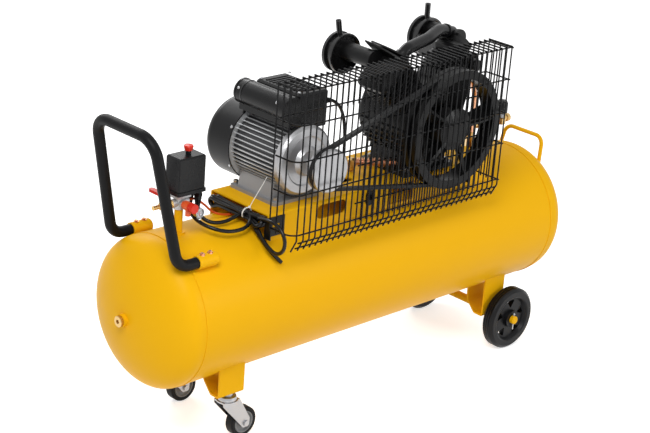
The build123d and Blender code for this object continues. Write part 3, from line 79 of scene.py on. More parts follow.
def middle(node: str) -> tuple[float, float]:
    """X and Z of the middle of a packed node."""
    low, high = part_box(node)
    return (low.x + high.x) / 2, (low.z + high.z) / 2


@dataclass
class Surface:
    """Vertices and faces of one piece under construction.

    Each part added is a closed shell of its own.
    """

    points: list[np.ndarray] = field(default_factory=list)
    faces: list[list[int]] = field(default_factory=list)
    count: int = 0

    def add(self, rings: np.ndarray, closed: bool = False, flip: bool = False) -> None:
        """Add a shell: rings of points, quads between neighbouring rings and flat ends.

        A quad joins places j and j + 1 of one ring to the same places of the next.

        Args:
            rings: Its vertices, by ring and by place on the ring.
            closed: True when the last ring joins the first, which leaves no ends.
            flip: True when the rings go round against the way that they are stacked.
        """
        count, sides = rings.shape[:2]
        step = -1 if flip else 1
        j = np.arange(sides)
        i = np.arange(count if closed else count - 1)[:, None] * sides
        over, right = (i + sides) % (count * sides), (j + 1) % sides
        quads = np.stack([i + j, i + right, over + right, over + j], axis=-1).reshape(-1, 4)
        self.faces += (quads[:, ::step] + self.count).tolist()
        if not closed:
            first, last = j[::-1], j + (count - 1) * sides
            self.faces += [(end[::step] + self.count).tolist() for end in (first, last)]
        self.points.append(rings.reshape(-1, 3))
        self.count += count * sides

    def tube(self, path: np.ndarray, radius: float, sides: int = 10,
             normal: Point = (1.0, 0.0, 0.0), closed: bool = False) -> None:
        """Add a round bar along a path that lies in one plane.

        A ring of `sides` points stands square to the path at each path point, at
        centre + radius * (cos a * n + sin a * (t x n)), with n the plane's normal
        and t the path's direction; at a bend t halves the angle.

        Args:
            path: Points of the centre line, one a row.
            radius: Radius of the bar.
            sides: Points round the bar.
            normal: Normal of the plane that holds the path.
            closed: True for a ring, whose path comes back to its first point.
        """
        path = np.asarray(path, float)
        if closed:
            along = unit(np.roll(path, -1, axis=0) - np.roll(path, 1, axis=0))
        else:
            step = unit(np.diff(path, axis=0))
            along = unit(np.vstack([step[:1], step[:-1] + step[1:], step[-1:]]))
        n = unit(np.array(normal, float))[None, :].repeat(len(path), 0)
        side = unit(np.cross(along, n))
        turn = np.linspace(0, 2 * math.pi, sides, endpoint=False)
        ring = np.cos(turn)[:, None] * n[:, None] + np.sin(turn)[:, None] * side[:, None]
        self.add(path[:, None] + radius * ring, closed, flip=True)

    def turned(self, profile: Profile, origin: Point, axis: Point, steps: int = 48,
               closed: bool = False) -> None:
        """Add a turned shape.

        A profile point (h, r) becomes a circle of radius r at origin + h * axis.

        Args:
            profile: Heights and radii, going up the outside.
            origin: Point on the axis where h is zero.
            axis: Direction of the axis.
            steps: Points round the axis.
            closed: True for a ring, whose profile closes on itself.
        """
        line = np.array(profile, float)
        w = unit(np.array(axis, float))
        helper = np.array([0.0, 0.0, 1.0]) if abs(w[2]) < 0.9 else np.array([1.0, 0.0, 0.0])
        u = unit(np.cross(helper, w))
        v = np.cross(w, u)
        turn = np.linspace(0, 2 * math.pi, steps, endpoint=False)
        spoke = np.cos(turn)[:, None] * u + np.sin(turn)[:, None] * v
        self.add(np.array(origin) + line[:, None, :1] * w + line[:, 1:, None] * spoke, closed)

    def prism(self, outline: Profile, origin: Point, across: Point, axis: Point,
              height: float) -> None:
        """Add a flat-ended prism.

        Outline point (a, b) stands at origin + a * u + b * v, with u across, v square to u
        and the axis, and once more a height further along the axis.

        Args:
            outline: Corners, going round once.
            origin: Point of the outline's zero.
            across: Direction of the outline's first coordinate.
            axis: Direction in which the outline is pulled.
            height: How far it is pulled.
        """
        w = unit(np.array(axis, float))
        u = unit(np.array(across, float))
        v = np.cross(w, u)
        flat = np.array(outline, float)
        after = np.roll(flat, -1, axis=0)
        area = np.sum(flat[:, 0] * after[:, 1] - after[:, 0] * flat[:, 1])
        flat = flat if area > 0 else flat[::-1]
        low = np.array(origin) + flat[:, :1] * u + flat[:, 1:] * v
        self.add(np.stack([low, low + w * height]))

    def piece(self, name: str, body: str, finish: Material) -> Object:
        """Make the Blender object, smooth but for its sharp edges, and let it ride on a body.

        Args:
            name: Name of the piece.
            body: Body that carries it.
            finish: Its material.

        Returns:
            The new object, at the origin and unturned.
        """
        mesh = bpy.data.meshes.new(name)
        mesh.from_pydata(np.vstack(self.points), [], self.faces)
        mesh.validate()
        mesh.materials.append(finish)
        made = bpy.data.objects.new(name, mesh)
        bpy.context.scene.collection.objects.link(made)
        mesh.shade_smooth()
        mesh.set_sharp_from_angle(angle=SHARP_EDGE)
        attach(made, body)
        LOG.info("%s: %d faces on %s", name, len(mesh.polygons), body)
        return made


def bead(place: Point, axis: Point, radius: float, height: float, shell: Surface) -> None:
    """Add a pan head: a disc whose top falls away in a quarter round.

    Args:
        place: Middle of its underside.
        axis: Direction that it faces.
        radius: Its radius.
        height: Its height.
        shell: Surface that it joins.
    """
    turn = np.linspace(0.0, math.pi / 2, 5)
    crown = [(height * (0.45 + 0.55 * math.sin(a)), radius * (0.55 + 0.45 * math.cos(a)))
             for a in turn]
    shell.turned([(0.0, radius), *crown], place, axis, steps=14)


def hexagon_nut(place: Point, axis: Point, radius: float, height: float, shell: Surface) -> None:
    """Add a six-sided nut or head, its axis square to its flat ends.

    Args:
        place: Middle of its underside.
        axis: Direction that it faces.
        radius: Distance from its middle to a corner.
        height: Its height.
        shell: Surface that it joins.
    """
    across = (0.0, 0.0, 1.0) if abs(axis[2]) < 0.9 else (1.0, 0.0, 0.0)
    a = np.linspace(0, 2 * math.pi, 6, endpoint=False)
    shell.prism(list(zip(radius * np.cos(a), radius * np.sin(a))), place, across, axis, height)


# ------------------------------------------------------------------ finishes
DRIFT_DETAIL = 4.0
FINE_DETAIL = 2.0
LEAST_ROUGHNESS = 0.02
WAVE_PACE = 20.0


def principled(name: str) -> tuple[Material, Tree, Node]:
    """Make a material with one plain shader.

    Args:
        name: Name of the material.

    Returns:
        The material, its tree and its shader node.
    """
    made = bpy.data.materials.new(name)
    made.use_nodes = True
    tree = made.node_tree
    return made, tree, next(n for n in tree.nodes if n.type == "BSDF_PRINCIPLED")


def blend(tree: Tree, share: Socket, low: Color, high: Color | Socket) -> Socket:
    """Mix two colours.

    Args:
        tree: The material's tree.
        share: Socket with the share of the second colour.
        low: First colour.
        high: Second colour, or the socket that gives it.

    Returns:
        Socket with the mixed colour.
    """
    mix = tree.nodes.new("ShaderNodeMix")
    mix.data_type = "RGBA"
    tree.links.new(share, mix.inputs["Factor"])
    mix.inputs["A"].default_value = (*low, 1.0)
    if isinstance(high, tuple):
        mix.inputs["B"].default_value = (*high, 1.0)
    else:
        tree.links.new(high, mix.inputs["B"])
    return mix.outputs["Result"]


def from_axis(tree: Tree, place: Node, centre: tuple[float, float], along: float = 1.0) -> Socket:
    """Coordinates measured from an axis along Y.

    Args:
        tree: The material's tree.
        place: The coordinate node.
        centre: X and Z of the axis.
        along: Factor on Y, 0 to leave it out.

    Returns:
        Socket with the coordinates.
    """
    move = tree.nodes.new("ShaderNodeMapping")
    move.inputs["Location"].default_value = (-centre[0], 0.0, -centre[1])
    move.inputs["Scale"].default_value = (1.0, along, 1.0)
    tree.links.new(place.outputs["Object"], move.inputs["Vector"])
    return move.outputs["Vector"]


@dataclass(frozen=True)
class Grain:
    """Small-scale relief and colour drift of a finish.

    Args:
        scale: Grains in a metre.
        depth: Height of the relief in metres.
        drift: Share by which the colour wanders.
        drift_scale: Colour patches in a metre.
        rough: Amount by which the roughness wanders.
    """

    scale: float = 900.0
    depth: float = 0.00004
    drift: float = 0.04
    drift_scale: float = 9.0
    rough: float = 0.05


@dataclass(frozen=True)
class Finish:
    """A solid finish: one shader, its relief and its wandering colour.

    Args:
        name: Name of the material.
        color: Linear base colour.
        metallic: 1 for bare metal.
        roughness: Mean roughness.
        grain: Relief and drift.
        coat: Weight of the clear coat.
        coat_roughness: Roughness of the coat.
        dust_and_sheen: Colour that the drift leans to; on the turned metal it is a painted sheen.
        specular: Strength of the plain gloss, 0.5 being that of most plastics.
    """

    name: str
    color: Color
    metallic: float = 0.0
    roughness: float = 0.5
    grain: Grain = Grain()
    coat: float = 0.0
    coat_roughness: float = 0.2
    dust_and_sheen: Color = (0.5, 0.5, 0.5)
    specular: float = 0.5

    def shader(self) -> tuple[Material, Tree, Node, Node]:
        """Make the material with its shader and drift.

        Returns:
            The material, its tree, the shader node and the coordinate node.
        """
        made, tree, bsdf = principled(self.name)
        place = tree.nodes.new("ShaderNodeTexCoord")
        bsdf.inputs["Metallic"].default_value = self.metallic
        bsdf.inputs["Specular IOR Level"].default_value = self.specular
        bsdf.inputs["Coat Weight"].default_value = self.coat
        bsdf.inputs["Coat Roughness"].default_value = self.coat_roughness
        drift = self.noise(tree, place, self.grain.drift_scale, DRIFT_DETAIL)
        share = tree.nodes.new("ShaderNodeMath")
        share.operation = "MULTIPLY"
        share.inputs[1].default_value = self.grain.drift
        tree.links.new(drift, share.inputs[0])
        # Colour drift toward the dust colour; on the turned metal this drift paints a sheen.
        color = blend(tree, share.outputs[0], self.color, self.dust_and_sheen)
        tree.links.new(color, bsdf.inputs["Base Color"])
        spread = tree.nodes.new("ShaderNodeMapRange")
        least, most = self.roughness - self.grain.rough, self.roughness + self.grain.rough
        spread.inputs["To Min"].default_value = max(LEAST_ROUGHNESS, least)
        spread.inputs["To Max"].default_value = min(1.0, most)
        tree.links.new(drift, spread.inputs["Value"])
        tree.links.new(spread.outputs["Result"], bsdf.inputs["Roughness"])
        return made, tree, bsdf, place

    @staticmethod
    def noise(tree: Tree, place: Node, scale: float, detail: float) -> Socket:
        """Add a noise pattern on the piece's own coordinates and return its height."""
        node = tree.nodes.new("ShaderNodeTexNoise")
        node.inputs["Scale"].default_value = scale
        node.inputs["Detail"].default_value = detail
        tree.links.new(place.outputs["Object"], node.inputs["Vector"])
        return node.outputs["Fac"]

    @staticmethod
    def relief(tree: Tree, height: Socket, bsdf: Node, depth: float) -> None:
        """Feed a height into a shader's normal.

        Args:
            tree: The material's tree.
            height: Socket with the height from 0 to 1.
            bsdf: The shader node.
            depth: Height of the relief in metres.
        """
        bump = tree.nodes.new("ShaderNodeBump")
        bump.inputs["Strength"].default_value = 1.0
        bump.inputs["Distance"].default_value = depth
        tree.links.new(height, bump.inputs["Height"])
        tree.links.new(bump.outputs["Normal"], bsdf.inputs["Normal"])

    def grained(self, tree: Tree, place: Node, bsdf: Node) -> None:
        """Add the finish's own fine relief."""
        fine = self.noise(tree, place, self.grain.scale, FINE_DETAIL)
        self.relief(tree, fine, bsdf, self.grain.depth)

    @staticmethod
    def under(tree: Tree, bsdf: Node, share: Socket, color: Color) -> None:
        """Lay a second colour where the share is 0 and keep the shader's own where it is 1."""
        own = bsdf.inputs["Base Color"].links[0].from_socket
        tree.links.new(blend(tree, share, color, own), bsdf.inputs["Base Color"])

    def build(self) -> Material:
        """Make the finished material."""
        made, tree, bsdf, place = self.shader()
        self.grained(tree, place, bsdf)
        return made


@dataclass(frozen=True)
class TurnedMetal(Finish):
    """Bare metal with the fine rings that a lathe leaves round an axis along Y.

    Args:
        centre: X and Z of the axis.
        pace: Phase of the rings, in radians a metre.
        ring_depth: Height of a ring.
        wander: How far the rings stray from true circles.
    """

    centre: tuple[float, float] = (0.0, 0.0)
    pace: float = 900.0
    ring_depth: float = 0.00003
    wander: float = 0.4

    def build(self) -> Material:
        """Make the material, its rings being a wave of the distance from the axis."""
        made, tree, bsdf, place = self.shader()
        wave = tree.nodes.new("ShaderNodeTexWave")
        wave.wave_type = "RINGS"
        wave.rings_direction = "Y"
        wave.inputs["Scale"].default_value = self.pace / WAVE_PACE
        wave.inputs["Distortion"].default_value = self.wander
        wave.inputs["Detail"].default_value = FINE_DETAIL
        tree.links.new(from_axis(tree, place, self.centre), wave.inputs["Vector"])
        self.relief(tree, wave.outputs["Fac"], bsdf, self.ring_depth)
        return made


@dataclass(frozen=True)
class FinnedMetal(Finish):
    """Cast fins round an axis along Y, with painted shade: bright at their tips and dark in the
    gaps between them.

    Args:
        centre: X and Z of the axis.
        tip: Radius past which the metal is bright.
        root: Radius under which it is dark.
        shade: Colour of the painted shade in the gaps.
    """

    centre: tuple[float, float] = (0.0, 0.0)
    tip: float = 0.089
    root: float = 0.083
    shade: Color = (0.06, 0.06, 0.062)

    def build(self) -> Material:
        """Make the material: the painted shade follows the distance from the axis."""
        made, tree, bsdf, place = self.shader()
        reach = tree.nodes.new("ShaderNodeVectorMath")
        reach.operation = "LENGTH"
        tree.links.new(from_axis(tree, place, self.centre, along=0.0), reach.inputs[0])
        share = tree.nodes.new("ShaderNodeMapRange")
        share.inputs["From Min"].default_value = self.root
        share.inputs["From Max"].default_value = self.tip
        tree.links.new(reach.outputs["Value"], share.inputs["Value"])
        # Painted shade: dark in the fin gaps, fading out towards the tips.
        self.under(tree, bsdf, share.outputs["Result"], self.shade)
        self.grained(tree, place, bsdf)
        return made


@dataclass(frozen=True)
class TwoTone(Finish):
    """A moulding with a dark foot.

    Args:
        level: Height up to which it is dark.
        foot: Colour of the foot.
    """

    level: float = 0.0
    foot: Color = (0.005, 0.005, 0.0055)

    def build(self) -> Material:
        """Make the material: its colour changes where Z passes the level."""
        made, tree, bsdf, place = self.shader()
        split = tree.nodes.new("ShaderNodeSeparateXYZ")
        tree.links.new(place.outputs["Object"], split.inputs[0])
        over = tree.nodes.new("ShaderNodeMath")
        over.operation = "GREATER_THAN"
        over.inputs[1].default_value = self.level
        tree.links.new(split.outputs["Z"], over.inputs[0])
        self.under(tree, bsdf, over.outputs[0], self.foot)
        self.grained(tree, place, bsdf)
        return made


class Slot(Enum):
    """Slots of the record that finishes belong to."""

    YELLOW = "yellow_paint"
    BLACK = "black_paint"
    WIRE = "wire_black"
    ZINC = "zinc"
    BRASS = "brass"
    COPPER = "copper"
    CASTING = "cast_black"
    ALUMINIUM = "aluminium_cast"
    BRIGHT = "aluminium_bright"
    GREY = "grey_paint"
    PLASTIC = "black_plastic"
    RED = "red_plastic"
    ORANGE = "orange_metal"
    NEEDLE = "needle_red"
    TREAD = "tread"
    WHEEL = "wheel_plastic"
    CASTER = "caster_grey"
    FOAM = "foam"
    CORD = "cord_pvc"
    TIE = "white_tie"
    TUBE = "orange_tube"
    BELT = "belt_rubber"


COARSE = Grain(scale=420.0, depth=0.00012, drift=0.06, drift_scale=30.0, rough=0.08)
SAND = Grain(scale=700.0, depth=0.00008, drift=0.10, drift_scale=24.0, rough=0.08)
PEEL = Grain(scale=260.0, depth=0.00002, drift=0.05, drift_scale=3.0, rough=0.04)
SKIN = Grain(scale=1500.0, depth=0.000012, drift=0.04, drift_scale=14.0, rough=0.05)
POLISH = Grain(scale=1200.0, depth=0.00001, drift=0.10, drift_scale=40.0, rough=0.06)
# SHEEN's large colour drift paints lighter patches of sheen onto turned metal.
SHEEN = Grain(scale=600.0, depth=0.00001, drift=0.5, drift_scale=16.0, rough=0.06)
SPONGE = Grain(scale=1300.0, depth=0.00004, drift=0.10, drift_scale=20.0)

DARK = (0.025, 0.025, 0.026)
JET = (0.005, 0.005, 0.0055)

FINISHES: dict[Slot, Finish] = {
    Slot.YELLOW: Finish("yellow_powder_coat", (0.83, 0.435, 0.004), roughness=0.38, grain=PEEL,
                        dust_and_sheen=(0.88, 0.485, 0.008), specular=0.06),
    Slot.BLACK: Finish("black_paint", JET, roughness=0.34, grain=PEEL, dust_and_sheen=DARK, specular=0.2),
    Slot.WIRE: Finish("dipped_wire", (0.003, 0.003, 0.0035), roughness=0.3, grain=PEEL, dust_and_sheen=DARK,
                      specular=0.16),
    Slot.ZINC: Finish("bright_zinc", (0.40, 0.405, 0.42), metallic=1.0, roughness=0.3, grain=POLISH,
                      dust_and_sheen=(0.58, 0.57, 0.54)),
    Slot.BRASS: Finish("brass", (0.60, 0.40, 0.15), metallic=1.0, roughness=0.28, grain=POLISH,
                       dust_and_sheen=(0.75, 0.60, 0.40)),
    Slot.COPPER: Finish("copper", (0.66, 0.33, 0.19), metallic=1.0, roughness=0.28, grain=POLISH,
                        dust_and_sheen=(0.80, 0.62, 0.45)),
    Slot.CASTING: Finish("painted_casting", (0.004, 0.004, 0.0042), roughness=0.33, grain=COARSE,
                         dust_and_sheen=DARK, specular=0.2),
    Slot.ALUMINIUM: Finish("cast_aluminium", (0.50, 0.51, 0.52), metallic=0.45, roughness=0.4,
                           grain=SAND, dust_and_sheen=(0.25, 0.25, 0.26)),
    Slot.BRIGHT: Finish("bright_aluminium", (0.52, 0.52, 0.53), metallic=1.0, roughness=0.27,
                        grain=POLISH),
    Slot.GREY: Finish("grey_paint", (0.27, 0.27, 0.275), metallic=0.2, roughness=0.42, grain=SAND,
                      dust_and_sheen=(0.2, 0.2, 0.2)),
    Slot.PLASTIC: Finish("black_plastic", JET, roughness=0.27, grain=SKIN, dust_and_sheen=DARK, specular=0.2),
    Slot.RED: Finish("red_plastic", (0.66, 0.028, 0.012), roughness=0.3, grain=SKIN, coat=0.1,
                     dust_and_sheen=(0.74, 0.06, 0.03), specular=0.2),
    Slot.ORANGE: Finish("orange_paint", (0.72, 0.09, 0.012), roughness=0.34, grain=PEEL, coat=0.2,
                        dust_and_sheen=(0.8, 0.18, 0.04)),
    Slot.NEEDLE: Finish("needle_paint", (0.5, 0.02, 0.01), roughness=0.4, grain=PEEL),
    Slot.TREAD: Finish("tyre_rubber", JET, roughness=0.5, grain=SKIN, dust_and_sheen=DARK, specular=0.14),
    Slot.WHEEL: Finish("wheel_plastic", (0.005, 0.005, 0.0058), roughness=0.34, grain=SKIN,
                       dust_and_sheen=DARK, specular=0.18),
    Slot.CASTER: Finish("caster_plastic", (0.16, 0.165, 0.17), roughness=0.5, grain=SKIN,
                        dust_and_sheen=(0.25, 0.25, 0.25)),
    Slot.FOAM: Finish("foam_sleeve", (0.004, 0.004, 0.0044), roughness=0.46, grain=SPONGE,
                      dust_and_sheen=DARK, specular=0.12),
    Slot.CORD: Finish("cord_sheath", JET, roughness=0.26, grain=SKIN, dust_and_sheen=DARK, specular=0.25),
    Slot.TIE: Finish("white_string", (0.78, 0.77, 0.74), roughness=0.6, grain=SKIN,
                     dust_and_sheen=(0.6, 0.58, 0.52)),
    Slot.TUBE: Finish("orange_tube", (0.70, 0.09, 0.015), roughness=0.3, grain=SKIN, coat=0.2,
                      dust_and_sheen=(0.8, 0.18, 0.05)),
    Slot.BELT: Finish("belt_rubber", (0.007, 0.007, 0.0075), roughness=0.5, grain=SAND, dust_and_sheen=DARK,
                      specular=0.25),
}


@dataclass
class Workshop:
    """Keeps one material for each finish, dresses the packed nodes and finishes new pieces.

    Args:
        made: Materials by slot, filled as they are asked for.
        enamel: The shiny black, made when first asked for.
        knob_neck: Height of the switch knob's dark neck.
    """

    made: dict[Slot, Material] = field(default_factory=dict)
    enamel: Material | None = None
    knob_neck: float = 0.017

    def finish(self, slot: Slot) -> Material:
        """Material of a slot, made when first asked for."""
        if slot not in self.made:
            self.made[slot] = FINISHES[slot].build()
        return self.made[slot]

    def gloss(self) -> Material:
        """Shiny black enamel, made when first asked for."""
        if self.enamel is None:
            self.enamel = Finish("black_enamel", (0.006, 0.006, 0.0065), roughness=0.2, grain=PEEL,
                                 dust_and_sheen=DARK, specular=0.5).build()
        return self.enamel

    @staticmethod
    def glass(roughness: float = 0.03) -> Material:
        """Clear glass of the gauge."""
        made, _, bsdf = principled("clear_glass")
        bsdf.inputs["Base Color"].default_value = (1.0, 1.0, 1.0, 1.0)
        bsdf.inputs["Roughness"].default_value = roughness
        bsdf.inputs["Transmission Weight"].default_value = 1.0
        return made

    def fit(self, shell: Surface, name: str, slot: Slot, finish: Material | None = None) -> Object:
        """Make a piece that stays with the frame.

        Args:
            shell: Its surface.
            name: Name of the piece.
            slot: The record's slot that its finish belongs to.
            finish: Its material, where it isn't the slot's own.

        Returns:
            The new object.
        """
        return shell.piece(name, FIXED, finish or self.finish(slot))

    def special(self) -> dict[str, Finish]:
        """Finishes that follow one node's shape: lathe rings under a painted sheen, painted shade
        between the cast fins, and the knob's neck.
        """
        axis = middle("motor_shield")
        # Turned parts: a large colour drift toward a pale grey paints a sheen of lighter patches on
        # the metal.
        lathe = {"metallic": 0.85, "grain": SHEEN, "centre": axis, "dust_and_sheen": (0.62, 0.62, 0.63)}
        knob = {**vars(FINISHES[Slot.RED]), "name": "knob_plastic"}
        return {
            "motor_shield": TurnedMetal("turned_shield", (0.40, 0.40, 0.41), roughness=0.38,
                                        **lathe),
            "motor_rotor": TurnedMetal("turned_pulley", (0.42, 0.42, 0.43), roughness=0.34,
                                       **lathe),
            # The housing's fins get painted shade in their gaps.
            "motor_housing": FinnedMetal("finned_aluminium", (0.56, 0.57, 0.58), metallic=0.5,
                                         roughness=0.36, grain=SAND, centre=axis,
                                         dust_and_sheen=(0.4, 0.4, 0.41)),
            "switch_knob": TwoTone(**knob, level=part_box("switch_knob")[0].z + self.knob_neck),
        }

    def dress(self) -> None:
        """Give every packed node its finish: its own, the enamel on the filters, or its slot's."""
        special = self.special()
        for entry in frame["record"]["subparts"]:
            name = entry["node"]
            node = frame["nodes"][name]
            if name in special:
                finish = special[name].build()
            elif name == "air_filters":
                finish = self.gloss()
            else:
                finish = self.finish(Slot(entry["material_slot"]))
            node.data.materials.clear()
            node.data.materials.append(finish)
            LOG.info("%s wears %s", name, finish.name)


# ------------------------------------------------------------------- details
def ribbed(count: int, pitch: float, rib: tuple[tuple[float, float], ...], start: float = 0.0,
           taper: float = 0.0) -> Profile:
    """Profile of a row of ribs: the points of one rib, repeated at each pitch.

    Args:
        count: Number of ribs.
        pitch: From one rib to the next.
        rib: Heights and radii of one rib.
        start: Height of the first rib.
        taper: How much smaller each rib's radii are than those of the one before.

    Returns:
        Heights and radii of the row.
    """
    return [(start + pitch * n + h, r - taper * n) for n in range(count) for h, r in rib]


@dataclass
class PumpTrim:
    """Small fittings of the pump and its discharge line, in metres.

    Args:
        workshop: Maker of the finishes.
        neck_radius: Radius of the oil filler neck.
        case_side: From the shaft to the crankcase's side.
        neck_out: From the crankcase's side to the neck's axis.
        neck_rise: From the flywheel's lowest point to the neck's middle.
        plug_radius: Radius of the filler's plug.
        arm: Length of the relief valve's arm.
        arm_radius: Radius of that arm.
        arm_rise: From the check valve's top to that arm.
        cap_back: From the arm's end back to the relief valve's axis.
        tube_radius: Radius of the cooling tube.
        tube_start: Start of the cooling tube: X and Z from the crankcase's low corner, and Y.
        tube_end: End of the cooling tube, in the same way.
        fin_radius: Radius of the fins on the cooling tube.
        fin_pitch: From one fin to the next.
        fin_start: Bare length before the first fin, and after the last.
    """

    workshop: Workshop
    neck_radius: float = 0.019
    case_side: float = 0.113
    neck_out: float = 0.060
    neck_rise: float = 0.168
    plug_radius: float = 0.0105
    arm: float = 0.134
    arm_radius: float = 0.007
    arm_rise: float = 0.016
    cap_back: float = 0.006
    tube_radius: float = 0.0065
    tube_start: Point = (-0.056, 0.014, 0.026)
    tube_end: Point = (0.066, -0.066, 0.024)
    fin_radius: float = 0.0125
    fin_pitch: float = 0.0060
    fin_start: float = 0.012

    def filler(self) -> None:
        """Add the filler neck on the crankcase's side: an elbow, its rim and an orange plug."""
        x = middle("crankcase")[0] + self.case_side + self.neck_out
        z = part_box("flywheel")[0].z + self.neck_rise
        r, p = self.neck_radius, self.plug_radius
        elbow = Surface()
        elbow.turned([(0, r * 0.9), (self.neck_out + r, r * 0.9)],
                     (x - self.neck_out - 0.006, 0, z), EAST, 24)
        elbow.turned([(-0.016, r * 0.7), (-0.012, r), (0.020, r), (0.022, r * 1.12),
                      (0.030, r * 1.12), (0.031, r * 0.7)], (x, 0, z), UP, 24)
        self.workshop.fit(elbow, "filler_neck", Slot.CASTING)
        plug = Surface()
        plug.turned([(0, p), (0.034, p), (0.036, p * 0.9), (0.036, p * 0.3)], (x, 0, z + 0.031),
                    UP, 20)
        self.workshop.fit(plug, "filler_plug", Slot.ORANGE)

    def relief(self) -> None:
        """Add the relief valve on an arm beside the check valve, capped in black."""
        x, z = middle("check_valve")[0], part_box("check_valve")[1].z + self.arm_rise
        axis = x + self.arm - self.cap_back
        brass = Surface()
        brass.turned([(0, self.arm_radius), (self.arm, self.arm_radius)], (x, 0, z), EAST, 16)
        hexagon_nut((x + 0.022, 0, z), EAST, 0.0115, 0.012, brass)
        hexagon_nut((axis, 0, z - 0.014), UP, 0.015, 0.018, brass)
        brass.turned([(0, 0.009), (0.014, 0.009), (0.015, 0.012), (0.026, 0.012), (0.026, 0.004)],
                     (x + self.arm, 0, z), EAST, 18)
        self.workshop.fit(brass, "relief_valve_body", Slot.BRASS)
        coil = ribbed(4, 0.0035, ((0, 0.010), (0.0012, 0.012), (0.0024, 0.010)))
        spring = Surface()
        spring.turned([(-0.001, 0.009), *coil, (0.0145, 0.009)], (axis, 0, z + 0.005), UP, 20)
        self.workshop.fit(spring, "relief_valve_spring", Slot.ZINC)
        cap = Surface()
        cap.turned([(0, 0.014), (0.002, 0.0175), (0.030, 0.0175), (0.038, 0.013), (0.040, 0.006)],
                   (axis, 0, z + 0.019), UP, 24)
        self.workshop.fit(cap, "relief_valve_cap", Slot.PLASTIC)

    def cooler(self) -> None:
        """Add the copper tube with its brass elbow: a turned bar with a fin at each pitch."""
        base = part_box("crankcase")[0]
        start, end = (np.array([base.x + x, y, base.z + z])
                      for x, y, z in (self.tube_start, self.tube_end))
        axis = tuple(end - start)
        length = float(np.linalg.norm(end - start))
        count = int((length - 2 * self.fin_start) / self.fin_pitch)
        fin = ((0, 0.0075), (0.0004, self.fin_radius), (0.0016, self.fin_radius), (0.002, 0.0075))
        fins = ribbed(count, self.fin_pitch, fin, start=self.fin_start)
        tube = Surface()
        tube.turned([(0, self.tube_radius), *fins, (length, self.tube_radius)], tuple(start),
                    axis, 20)
        self.workshop.fit(tube, "finned_tube", Slot.COPPER)
        elbow = Surface()
        hexagon_nut(tuple(start), axis, 0.012, 0.010, elbow)
        elbow.turned([(-0.024, 0.010), (0.008, 0.010), (0.012, 0.006)], tuple(start), UP, 18)
        self.workshop.fit(elbow, "finned_tube_elbow", Slot.BRASS)

    def build(self) -> None:
        """Make every fitting."""
        self.filler()
        self.relief()
        self.cooler()


@dataclass
class MotorTrim:
    """Bands, screws and bushes on the motor, in metres.

    Args:
        workshop: Maker of the finishes.
        band: Width of a band round the capacitor.
        band_sink: How deep a band's edges lie in the case.
        band_crown: How far a band stands out.
        screw: Radius of a small screw's head.
        cable: Radius of the motor's cable.
    """

    workshop: Workshop
    band: float = 0.006
    band_sink: float = 0.002
    band_crown: float = 0.0016
    screw: float = 0.0042
    cable: float = 0.0045

    def capacitor(self) -> None:
        """Add the cap's rim and the bands round the capacitor: rings of rounded section."""
        low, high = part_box("capacitor_case")
        radius = (high.x - low.x) / 2
        w, edge, crown = self.band / 2, radius - self.band_sink, radius + self.band_crown
        ring = Surface()
        for y in (high.y - 0.001, high.y - 0.024):
            ring.turned([(-w, edge), (-w * 0.6, crown), (w * 0.6, crown), (w, edge)],
                        ((low.x + high.x) / 2, y - w, high.z - radius), (0, 1, 0), 48, closed=True)
        self.workshop.fit(ring, "capacitor_bands", Slot.PLASTIC, self.workshop.gloss())

    def screws(self) -> None:
        """Add the pan heads on the terminal box's lid, the capacitor and the cowl."""
        heads = Surface()
        low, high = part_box("terminal_box")
        for x in (low.x + 0.010, high.x - 0.010):
            for y in (low.y + 0.012, high.y - 0.012):
                bead((x, y, high.z - 0.0004), UP, self.screw, 0.0026, heads)
        low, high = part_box("capacitor_case")
        for y in (high.y - 0.016, low.y + 0.030):
            bead((low.x + 0.0045, y, high.z - 0.018), (-0.8, 0, 0.6), self.screw, 0.003, heads)
        low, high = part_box("fan_cowl")
        x, z = middle("fan_cowl")
        reach = (high.x - low.x) / 2 - 0.0005
        for degrees in (150, 210, 270, 330, 30):
            a = math.radians(degrees)
            spoke = (math.cos(a), 0.0, math.sin(a))
            bead((x + reach * spoke[0], low.y + 0.007, z + reach * spoke[2]), spoke, self.screw,
                 0.0026, heads)
        self.workshop.fit(heads, "cover_screws", Slot.ZINC)

    def bush(self) -> None:
        """Add the ribbed bush where the motor's cable leaves the terminal box."""
        low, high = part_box("motor_cable")
        place = (low.x, low.y + self.cable, high.z - self.cable)
        crests = [0.0078 - 0.0003 * n for n in range(4)]
        ribs = [(0.006 + 0.004 * n + h, r) for n, crest in enumerate(crests)
                for h, r in ((0, 0.0062), (0.0007, crest), (0.0022, crest), (0.003, 0.0062))]
        shell = Surface()
        shell.turned([(-0.001, 0.0105), (0.005, 0.0105), *ribs, (0.024, 0.0055)], place,
                     (1, 0, -0.1), 24)
        self.workshop.fit(shell, "motor_cable_bush", Slot.PLASTIC)

    def build(self) -> None:
        """Make every fitting."""
        self.capacitor()
        self.screws()
        self.bush()


